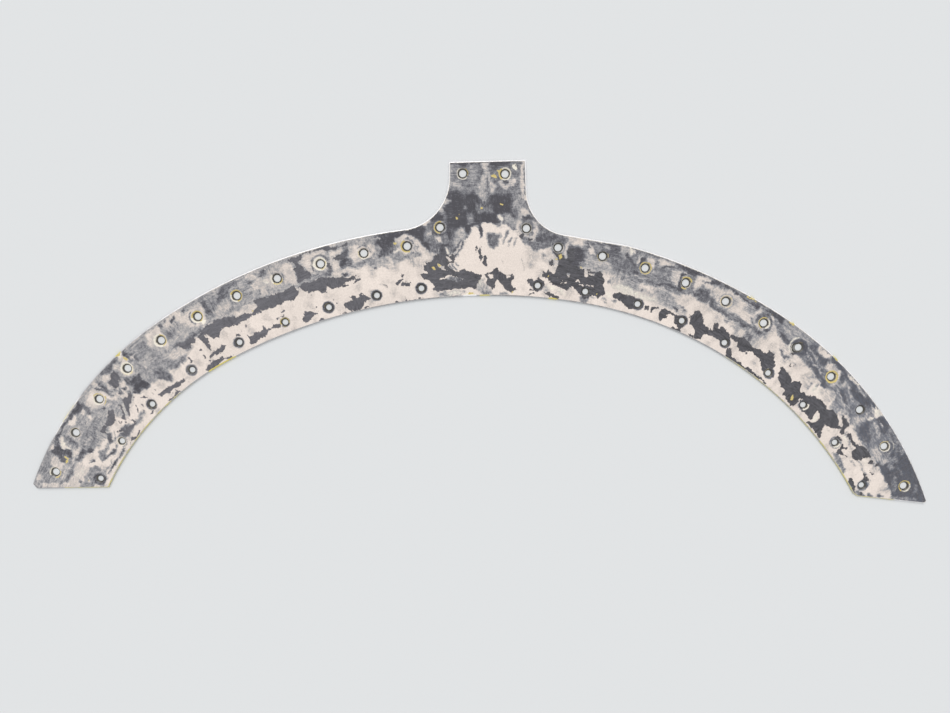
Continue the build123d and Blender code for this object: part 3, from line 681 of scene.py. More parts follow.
# %% Patches on the left arm
# Along the left arm the slate lies in two broken bands, with a rubbed track between.
FILM_LEFT = [
    # a rubbed grey film over the outer half
    (0.42, 1.6, [-60,-1, -60,8, -64,16, -62,20, -70,22, -78,19, -84,20, -92,19, -120,19,
        -128,20, -160,20, -178,20, -210,20, -214,26, -222,29, -228,31, -236,32, -240,30,
        -250,30, -258,28, -266,29, -272,26, -280,30, -288,33, -292,30, -296,26, -310,30,
        -318,29, -326,28, -332,24, -340,24, -356,22, -356,-1]),
    (0.8, 1.2, [-58,0, -70,0.5, -70,6, -66,9, -70,13, -69,16, -62,15, -58,12]),
    (1, 1, [-58,1, -66,2, -69,6, -66,9, -60,9, -57,6]),
    (0.06, 0.9, [-67,2, -73,4, -74,6, -70,8, -71,12, -73,12, -76,9, -80,6, -87,5, -88,8,
        -88,14, -84,14.5, -80,15, -74,14, -72,15, -76,10, -74,4.5, -70,3.4, -66,3.4]),
    (0.06, 0.9, [-87,5, -82,5, -77,7, -76,12, -80,15, -86,15.5, -88,12]),
    (0.6, 0.8, [-72,15.5, -80,14, -84,17, -78,19, -72,19]),
    (0.85, 0.7, [-71.5,20.4, -74.6,20.4, -75,22, -72,21.6]),
    (0.5, 0.5, [-64,22, -70,21, -70,21.7, -64,23]),
    (0.7, 1.3, [-90,4, -93,8, -96,12, -97,16, -92,18, -88,18, -89,12, -88,6]),
    (0.95, 0.8, [-93.5,8, -94,11, -96,15, -92,15, -91,8]),
    (0.08, 0.8, [-98,5, -101,3.6, -101,8, -98,8.6, -94,8.6, -92.6,6, -92,4, -94,4.6,
        -96,5]),
    (0.08, 0.8, [-97,11, -104,9, -104,14, -101,18, -97,18, -96,13]),
    (0.06, 1.2, [-104,4, -110,2.6, -118,3, -121,5, -122,9, -120,14, -114,15, -105,15,
        -104,10]),
    (0.72, 1, [-101,14, -104,12.6, -106,17, -112,17.6, -112,20, -103,20]),
    (0.5, 1.3, [-107,14.5, -118,16, -122,20, -107,20]),
    (0.5, 1, [-97.4,20.5, -93,20.2, -90,21, -90,23, -96,23]),
    (0.95, 0.5, [-95.6,21, -92.8,20.8, -93,22.4, -95,22.2]),
    (0.3, 1.5, [-66,17, -72,18, -72,20, -64,22]),
    (0.22, 0.7, [-71,31.5, -69,33, -67,35.4, -68,35.6, -71,33.4, -73,32]),
    (0.1, 1, [-126,4, -133,4, -136,7, -133,12, -136,16, -129,18, -127,14, -127,9]),
    (0.75, 0.9, [-143.6,3, -147,2.4, -149,5, -152,6.6, -155,7, -158,5.4, -159.6,4.4, -158,7,
        -153,8, -148,6.6, -144,5.4]),
    (0.3, 1.3, [-136,6, -139,4, -144,5, -148,9, -147,14, -144,17, -138,17, -135,13]),
    (0.04, 1, [-151,6, -153,7, -157,9, -157,12, -153,14, -155,18, -150,18, -149,12,
        -145,11.4, -145,8.6, -149,8.6]),
    (0.8, 0.5, [-152.4,14, -153.6,13.6, -154.4,16.4, -153,16]),
    (0.1, 0.8, [-153,2.6, -158,1.6, -159,3.6, -155,5.6, -152,5.6]),
    (0.5, 1.5, [-160,8, -164,8, -164,16, -160,17]),
    (0.7, 1, [-165,1.6, -172,1, -179,4, -184,9, -182,11, -176,9, -171,5, -166,4.6]),
    (0.74, 1.2, [-175,3, -180,5, -184,9, -180,9.6, -176,7]),
    (0.14, 1, [-164,22, -169,22, -168,25, -163,25]),
    (0.22, 1.6, [-176,12, -184,12, -190,14, -186,17, -176,17]),
    (0.55, 1.4, [-179,6, -186,2, -192,2, -192,12, -187,14, -184,10]),
    (0.8, 0.8, [-192.4,4, -193,12, -190.6,16, -189,12, -190.6,4]),
    (0.1, 1.4, [-194,2, -198,5, -206,5, -212,8, -208,14, -198,18, -194,12]),
    (0.08, 0.9, [-208,1.6, -216,1.6, -223,4, -222,7.6, -216,5.8, -209,8]),
    (0.85, 0.6, [-213,2.8, -217,3.6, -217.4,5.4, -215,5.8, -213.4,4.6]),
    (0.8, 0.6, [-203.6,2, -207,2.2, -206.6,4.2, -204.4,3.8]),
    (0.8, 0.7, [-223,2.6, -227,1.8, -225,4.6, -223,4.4]),
    (0.66, 1.9, [-218,9, -226,9, -226,12, -222,14, -218,13.6]),
    (0.34, 2, [-209,10, -217,12, -218,19, -211,19]),
    (0.78, 1.4, [-200,19, -208,19, -214,20, -223,19, -226,20, -222,22, -212,22, -204,21]),
    (0.05, 1, [-226,2, -236,3, -240,9, -238,14, -230,18, -227,15, -226,8]),
    (0.2, 1, [-219,24, -226,20.4, -233,21, -232,26, -225,26, -220,28]),
    (0.62, 1.3, [-222,28, -230,28, -236,26, -238,30, -232,31.6, -224,31]),
    (0.5, 2.5, [-240,2, -254,1, -256,18, -258,27, -250,29.6, -242,29, -240,20, -237,17]),
    (0.58, 1.6, [-240,4, -246,5, -247,9, -242,10, -240,8]),
    (0.3, 2, [-243,13, -252,14, -251,19, -244,19]),
    (0.7, 1.3, [-249.6,25, -246,24.6, -242,24.6, -241,29, -240,32, -241.6,36.6, -243.4,36.8,
        -247,33, -250,29.6, -248.6,28]),
    (0.6, 1.6, [-238,20, -239.6,22, -238,27, -233,31, -232,28, -235,24]),
    (0.8, 1, [-255,1.6, -257.6,2, -257.6,9, -254,10.6, -251,11, -252,6]),
    (0.24, 0.8, [-254.6,5, -252,7.6, -253,10.5, -255.4,9]),
    (0.02, 0.5, [-256,-1, -261.6,-1, -261,3, -260.4,5, -257.4,5, -256.4,2.4]),
    (0.03, 1, [-257,5, -262,6, -266,9, -267,13, -264,16.6, -259,15, -257.4,10]),
    (0.8, 1, [-262,1, -276,1, -277,3, -270,5, -267,3, -263,5]),
    (0.26, 0.9, [-263,4, -268,4, -269,7, -266,8]),
    (0.1, 1, [-276.6,3.6, -272.6,6, -278,8, -280,7, -279,3.6]),
    (0.75, 1.2, [-268,13, -271,17, -268,22, -264,24, -262,19, -266,17]),
    (0.06, 0.8, [-270.4,13.6, -272.6,15, -274,17, -272,21.6, -270,17]),
    (0.95, 1, [-258,18, -262,17.6, -266,19, -267,23, -272,25, -269,28, -264,27.4, -260,30,
        -257.6,28.6, -258.6,23]),
    (0.4, 0.7, [-256,23, -259,22.8, -257.4,28, -254,29]),
    (0.04, 0.8, [-279.6,8, -281.4,12, -281,17, -278.6,18, -279.4,12]),
    (0.04, 0.9, [-286,1, -283.6,4, -284,12, -281,20, -284.6,20, -288,14, -288,5]),
    (0.75, 0.8, [-283,3, -285,3.6, -284,9, -281.6,15, -280.4,15, -282,9]),
    (0.75, 0.9, [-289,5, -286,9, -284,17, -282.6,17, -284.4,9, -286.4,4.6]),
    (0.05, 0.6, [-281,18, -278.8,17, -277,21, -275,25, -276.6,25.4, -279,22]),
    (0.05, 0.6, [-276,18, -274.4,18, -274.6,23, -275.8,23]),
    (0.8, 0.6, [-279.6,18.6, -277,18, -276.4,20.4, -277.8,20.6]),
    (0.9, 0.6, [-272,18, -274.4,17.6, -274.4,19.8, -272,20]),
    (0.04, 1.3, [-288,4, -296,4, -300,6, -301,10, -298,14, -292,16, -288,14]),
    (0.9, 0.5, [-294,16, -295.4,16.4, -295.8,18.4, -294.4,18.4]),
    (0.75, 0.8, [-301,4, -306,6, -307,10, -302.6,14, -301.6,10]),
    (0.06, 0.6, [-304,6, -308.6,6.4, -308,9, -305.4,10, -307,11, -304.4,12, -306.6,15.6,
        -309,15, -305,8.8]),
    (0.9, 0.8, [-302,1.6, -308,1.6, -316,2, -322,1.8, -332,1.4, -336,2.6, -340,2.6,
        -332,3.8, -326,3, -318,3.4, -310,5.6, -304,6]),
    (0.06, 0.7, [-311.4,4.4, -314,4.6, -318,3.4, -320,4.6, -318.6,6.4, -315,8, -312.6,7.6]),
    (0.3, 1, [-318,7, -324,7, -328,10, -326,15, -320,15, -317,12]),
    (0.55, 2, [-303,16, -318,16, -328,19, -328,26, -320,26, -314,22, -303,20]),
    (0.28, 0.8, [-318,20.4, -326,20, -327,21.4, -319,21.6]),
    (0.7, 1.2, [-331,6, -330,12, -331,17, -328,17, -327,8, -329,5]),
    (0.14, 0.9, [-329,3.4, -331,4, -337.4,8, -337,10, -334.6,12, -334,16, -330,18,
        -334,19.4, -342,18.6, -342,17.4, -336,17, -333,14, -333.6,10, -332,8, -328.6,5.4]),
    (0.95, 1, [-338,4, -343,1, -344,5, -345.6,10, -345.4,14.4, -342.6,14.4, -342.4,11,
        -340.6,10.4, -339.4,12.6, -341,16.8, -337,17, -334.6,14, -334.8,12.4, -337.6,9.8,
        -336.6,7, -333,4.6]),
    (0.04, 0.8, [-338,1, -344,1.6, -340,3, -336.6,2.8]),
    (0.08, 1, [-345,4.4, -349,6, -351,10, -350,14.4, -346,14, -345.6,9]),
    (0.5, 1.5, [-345,1, -352,1, -354,7, -350,6]),
    (0.6, 1.4, [-342,18, -344,16, -354,16, -354,21.6, -344,21]),
    (0.85, 1, [-329,20, -340,20, -336,23.6, -330,24]),
    (0.12, 0.8, [-334,25, -331,25, -328,28, -330,29, -334,28.6, -337,30]),
    (0.9, 0.5, [-329.6,23, -326.6,24, -325.6,27, -324.6,28, -327.6,27.6, -329.6,25.6]),
    (0.85, 0.5, [-332.6,28.4, -337,29.4, -335,30.6, -332.6,31]),
    # the foot and the inner half
    (0.62, 1, [-350,30.6, -341,31, -335.6,33.4, -335.6,36, -337,38, -335.6,40, -338,42,
        -349,42, -350,40, -345,41, -341.6,38.6, -343.6,35.4, -349,35]),
    (0.6, 1, [-324,30.4, -329,33, -331,36, -326,36.6, -322,35, -316,34.6, -314,33,
        -320,32.6]),
    (0.85, 0.9, [-315,39, -317,37.6, -321,37.4, -326,36, -331,35.6, -325,38, -321,39.6,
        -315,39.8, -311,38.6, -313,37.4]),
    (0.85, 0.8, [-312,43, -320,43, -332,42.4, -337,42.8, -335,43.8, -324,44.4, -316,44.8,
        -311,44]),
    (0.5, 0.6, [-334,40, -328,40.8, -322,40.8, -328,41.8, -336,41.6]),
    (0.7, 0.9, [-300,33, -296,34, -293.6,36, -290,38, -288.6,39.6, -300,41.6, -304,39,
        -305,36]),
    (0.2, 0.9, [-306,36.6, -310,36.4, -311,38.6, -308,40.8, -305.4,39.6]),
    (0.06, 0.5, [-302.4,32.8, -305.6,33.6, -302,36, -299,37.6, -298.6,36.6, -301.4,34.8]),
    (0.85, 0.6, [-307,33.6, -308,35.4, -313,36.2, -310,34.6, -304,31.6]),
    (0.8, 0.7, [-309,28, -313,31, -314.6,34.6, -311.6,34.8, -310,32.6, -306.6,30.4]),
    (0.55, 1.2, [-276,37, -286,37.6, -291,39.6, -288,41, -283,41.6, -276,39]),
    (0.5, 1, [-350,35, -352,42, -347,44, -351,46]),
]
SLATE_LEFT = [
    (1, [-85,24.2, -90,24, -96,23.2, -101,22, -108,20, -112,19.6, -120,19.8, -126,20,
        -127.6,21, -125.6,24, -123,25.6, -123.4,26.6, -116,27, -114,28, -111.6,29.4,
        -110,30, -110,28, -109,25.8, -107,28, -102,28.2, -99.6,28.4, -99.6,29.8, -94,28.9,
        -93.4,28.2, -97.6,27.7, -96.4,26.6, -91,26, -88,25.2]),
    (1, [-129.6,20, -131,19, -140,20, -152,19.2, -160.6,18, -160.4,19.6, -159,21.4,
        -160,23.4, -163,24, -164.4,25.4, -168,24.4, -170,23, -175,23.4, -179.4,22,
        -179.4,27.6, -173,27.6, -169,26.8, -159,27.2, -158,26, -154,27, -143,27.6, -141,26,
        -137.4,26.6, -136.6,28, -134,28, -131.6,26.6, -129.8,25.6, -129,22]),
    (1, [-178.6,21.6, -184,19.4, -190,18.6, -201,19, -207.6,22.6, -206,28, -205,34.2,
        -204,34.4, -203,32, -202.6,29, -201,26.6, -199.6,26.4, -197.6,29, -194,28.6,
        -193.4,29.6, -192.6,28, -190,26.6, -186,25.4, -184,27, -178.6,27.8]),
    (0, [-203.6,23.6, -201.6,23.4, -199.6,25, -200.6,26.2, -203,25.4]),
    (1, [-89.6,27.6, -88,26.4, -85.4,26, -84.8,27.2, -87,28, -90,29]),
    (1, [-95.9,30.7, -94.6,30.7, -94.7,31.5, -95.9,31.4]),
    (1, [-81.6,39.4, -83.6,37.6, -84.6,36.2, -88,36, -88.6,38, -91.6,37.6, -92,35.8,
        -95.8,36, -94,38, -94,38.8, -100,38.8, -101.4,40.6, -100,43, -98.6,44, -96,44.6,
        -97,46.4, -89.6,46, -88,44, -86,42, -84,40.8, -82,41.4, -81,40.4]),
    (1, [-93.4,4, -96,5, -100,3.4, -102,4.8, -103,3.6, -104.6,2.6, -112,2, -119.4,2.4,
        -119.6,4, -120.4,2, -119,1.2, -100,1.2, -98,2.6, -94.6,3.6, -92,3.4, -88,1.6,
        -88,3.6, -91,4.2]),
    (1, [-92.4,8.8, -95,9.2, -99.8,8.8, -100,10, -97,11.4, -95,12.4, -93,12, -91,10,
        -91,8]),
    (1, [-119.6,1.6, -128,2, -129,3.6, -125.6,4.4, -125,6, -125,8, -127,9, -126.6,11,
        -125.4,14, -127.6,17, -124.6,18, -123.6,18.6, -121,17.6, -117.6,18, -117.4,14,
        -119,12.6, -120.4,10, -120,8.6, -122,7.4, -122.4,5.6, -119,4.4]),
    (1, [-104,8, -106,7, -105,12, -105.6,15, -103,16, -101.6,14, -101.8,12, -103.6,10.6]),
    (1, [-113.6,8, -112.6,7, -113.6,11, -113,14, -114.6,14.4, -114.4,11]),
    (1, [-112,34.7, -114.6,34.8, -114.4,36, -112,35.8]),
    (1, [-106.6,35, -107.6,35.2, -107.4,36.2, -106.5,36]),
    (1, [-105,37.5, -106.4,37.6, -106,38.9, -104.8,38.6]),
    (1, [-70,33, -69,32.8, -67,35.2, -68,35.6]),
    (1, [-60.8,32.4, -58,32, -58,34, -60,34.6]), (1, [-121,45.6, -118.4,44.6, -119.6,46.6]),
    (1, [-108,45.6, -105.6,44.8, -105.6,46.4]),
    (1, [-103.6,45.4, -99.6,44.8, -99.8,46.6, -103.6,46.6]),
    (1, [-88,45, -84,44.4, -82,45.6, -87,46.6]),
    (1, [-63,45.6, -61,44.7, -60,46.2, -62.6,46.6]),
    (1, [-133.8,40.8, -132,39.6, -131.4,38, -130,37.2, -127,37.2, -125,39, -123.4,40,
        -121.2,40.2, -121.4,40.9, -124,40.8, -125,42, -127.6,43.6, -130.6,43.8, -133,42.8]),
    (1, [-120.6,36.2, -121.4,36.7, -120.4,37.6]),
    (1, [-120.4,38.6, -121,39.4, -120.2,39.7]),
    (1, [-119.6,44.2, -122.4,44.4, -120.4,45.8, -118.8,45.6]),
    (1, [-120.6,28, -121.6,28.6, -120.6,29.4]),
    (1, [-143.6,31.4, -146.6,31.8, -145,32.8, -143.4,32.5]),
    (1, [-149,34.2, -151.8,34.8, -151.6,35.8, -149,35.6]),
    (1, [-144,34.9, -147.6,34.4, -147.6,35.5, -144.2,36]),
    (1, [-149.6,38.6, -152,37.8, -155,37, -156,38.2, -160,38.4, -161.6,37.4, -162,35,
        -163,35.4, -162.6,37.4, -166,38, -169,37.6, -174.6,38.2, -175.6,37, -175.4,40.2,
        -176.8,40.8, -175.6,43, -172,44, -168,42.6, -163.6,42.4, -161.6,40.6, -158,39.4,
        -153,40.8, -150,40.6]),
    (1, [-172.6,30, -173.4,31, -173,32, -172.4,31]),
    (1, [-177.4,31.8, -178.2,32.4, -177.4,33]),
    (1, [-182.6,33, -180.6,32.6, -180,34, -182,34.6]),
    (1, [-180.8,35.4, -179.4,35.6, -179.8,36.8]),
    (1, [-191.8,35.6, -194,35, -200,35.4, -205,36, -208.4,37.6, -207.6,38.6, -204,37.8,
        -202,38.6, -199,38.8, -195,37.4]),
    (1, [-198.8,41.2, -203,41, -208,40.6, -212.6,41.4, -216.4,43, -215,45, -206,45,
        -200,43.6, -195,45, -191,44.6, -195,43, -200,42.6]),
    (1, [-211,33.6, -212.4,33.6, -211.6,36.6, -210.6,37, -210.4,35.4]),
    (1, [-209,38.6, -210.6,38, -210,40, -209,40]),
    (1, [-210.2,29.4, -212,30.2, -211.4,31, -210,30.6]),
    (1, [-193,30.4, -194,31, -193.2,31.8]),
    (1, [-220.4,30, -222,29.4, -221.6,31.4, -222.6,33.4, -221.6,34.2, -220,33.4]),
    (1, [-173.6,38, -175,39, -174.4,43, -173,43.4]),
    (1, [-209.6,25, -213,24, -216,26, -219,25, -222,22, -224,19.6, -215,20, -210,21]),
    (0, [-209,22, -211,26, -208,28, -207.4,23]),
    (1, [-237.4,40, -234.6,39.4, -235,42, -237.4,42]),
    (1, [-234.2,40.4, -240,38.6, -248,38, -255,36.8, -259,37.4, -257.6,39, -250,40.6,
        -242,41.4, -236,42]),
    (1, [-243.8,42.6, -245.6,42.4, -245,43.6, -243.8,43.4]),
    (1, [-248,41.6, -249.6,42, -248,42.8]),
    (1, [-279,9.6, -276.6,8.6, -273.6,6.8, -272,5.4, -269.6,6, -268.6,10, -269.6,12.4,
        -273,13.6, -275,16, -277.6,15.6, -279,13.6]),
    (1, [-270.6,31, -268,30.4, -266.4,32, -265.6,33.6, -267,33.4, -269,32.6]),
    (1, [-262,33.6, -260.6,33.2, -260.4,34.8, -262,35]),
    (1, [-264.6,35, -266,34.2, -264.4,36]), (1, [-258.2,33, -257,33.2, -257.2,34.3]),
    (1, [-275.6,37, -276.8,37.6, -275.6,38.4]), (1, [-273.4,25.6, -274,27.4, -272.6,28]),
    (1, [-274.4,29.8, -275,31.6, -273.8,32.4]), (1, [-276.4,30.8, -278,31, -276.6,32.6]),
    (1, [-273.4,33, -274.2,35.4, -273.2,35.8]),
    (1, [-271.6,22.4, -276,24, -281,23, -283.6,26, -286,30, -288.4,33, -284.6,32.4,
        -281,29.6, -277,27.4, -273,25]),
    (0, [-282.6,20, -284,24, -288.6,30, -290,33, -287.6,32, -283,25.6, -281.6,21]),
    (1, [-284.8,23, -287,25, -290,30, -292.4,30.4, -292,33.6, -294.6,34, -293,35, -290.6,33,
        -287,28, -284.4,24.6]),
    (1, [-288.6,33.6, -289.6,34.6, -288,38.4, -287,39, -286.6,37, -288,35.6]),
    (1, [-277,32.6, -280,34.4, -280.6,36, -279,35.6, -277.4,34]),
    (1, [-291,21.6, -294,20.6, -297,21, -298.6,23, -303,24, -304,26.6, -300,28, -296,27,
        -292,24.6]),
    (1, [-304.4,24, -310.6,23.6, -311,25, -309.6,28, -307.6,29.6, -309.6,31.6, -313.8,32.6,
        -313,31, -309,29.6, -308.6,26.6, -305,26.4]),
    (1, [-295.6,30, -297,31.4, -295.6,32.2, -294,31.8]),
    (1, [-287,38.6, -291.6,37.8, -294.4,38, -300,33.6, -303.6,33.4, -302,35.4, -300,36,
        -301.6,39, -297,38.4, -293.4,39.4, -289,40]),
    (1, [-270,42, -272.4,41.4, -275.4,42, -272,43.4, -267,42.6, -266.4,40.6]),
    (1, [-346,12, -345,14.6, -342.4,14.6, -342.6,11]),
    (1, [-253,43.6, -252,44.4, -244,43.8, -240,45, -252,45.6, -258,44.6]),
    (1, [-300,43.8, -306,44.6, -296,45.6, -288,45]),
]
YELLOW_LEFT = [
    [-257,-0.6, -260.6,-0.6, -260.2,1, -258,1.6],
    [-257.4,4.4, -258.6,6.6, -257.6,7.2, -256.6,4.6],
    [-345.8,14.4, -342.4,14.6, -341.4,11, -340.6,11, -341.4,15.4, -345,15.8],
    [-349.4,33.6, -350.6,34.2, -349.6,35], [-163,23.6, -164.4,22.8, -164.4,24.6],
]
WHITE_LEFT = [
    (0.8, 0.5, [-257,-1, -260.6,-1, -260.4,2, -260,3.6, -258.4,3.6, -257.4,2]),
    (0.28, 1.2, [-257,6, -262,7, -266,10, -266,13, -263,16, -259,14.6, -257.4,10]),
    (0.34, 1.2, [-228,6, -236,6, -238,10, -236,13, -230,16, -227,14]),
    (0.3, 1.2, [-288,6, -298,6, -300,10, -296,14, -290,14]),
    (0.5, 1, [-146,8, -149,8, -149,12, -146,12.4]),
    (0.5, 1, [-107,6, -112,6.6, -115,10, -112,14.4, -107,15]),
    (0.5, 0.6, [-329,3.4, -337.4,8, -337,10, -334.6,12, -334,16, -338,17.4, -342,18.6,
        -336,18, -332.6,14, -333.6,10, -332,8]),
    (0.4, 1.5, [-352,23, -344,24, -340,27, -346,29.6, -352,28]),
    (0.4, 1, [-306,36.6, -310,36.4, -311,38.6, -308,40.8, -305.4,39.6]),
    (0.5, 0.7, [-282.6,20, -284,24, -288.6,30, -287.6,31, -283,25.6]),
    (0.4, 1.2, [-83,41, -90,44, -84,45]),
]
print("patches on the left arm:", sum(map(len, (FILM_LEFT, SLATE_LEFT, YELLOW_LEFT,
    WHITE_LEFT))))

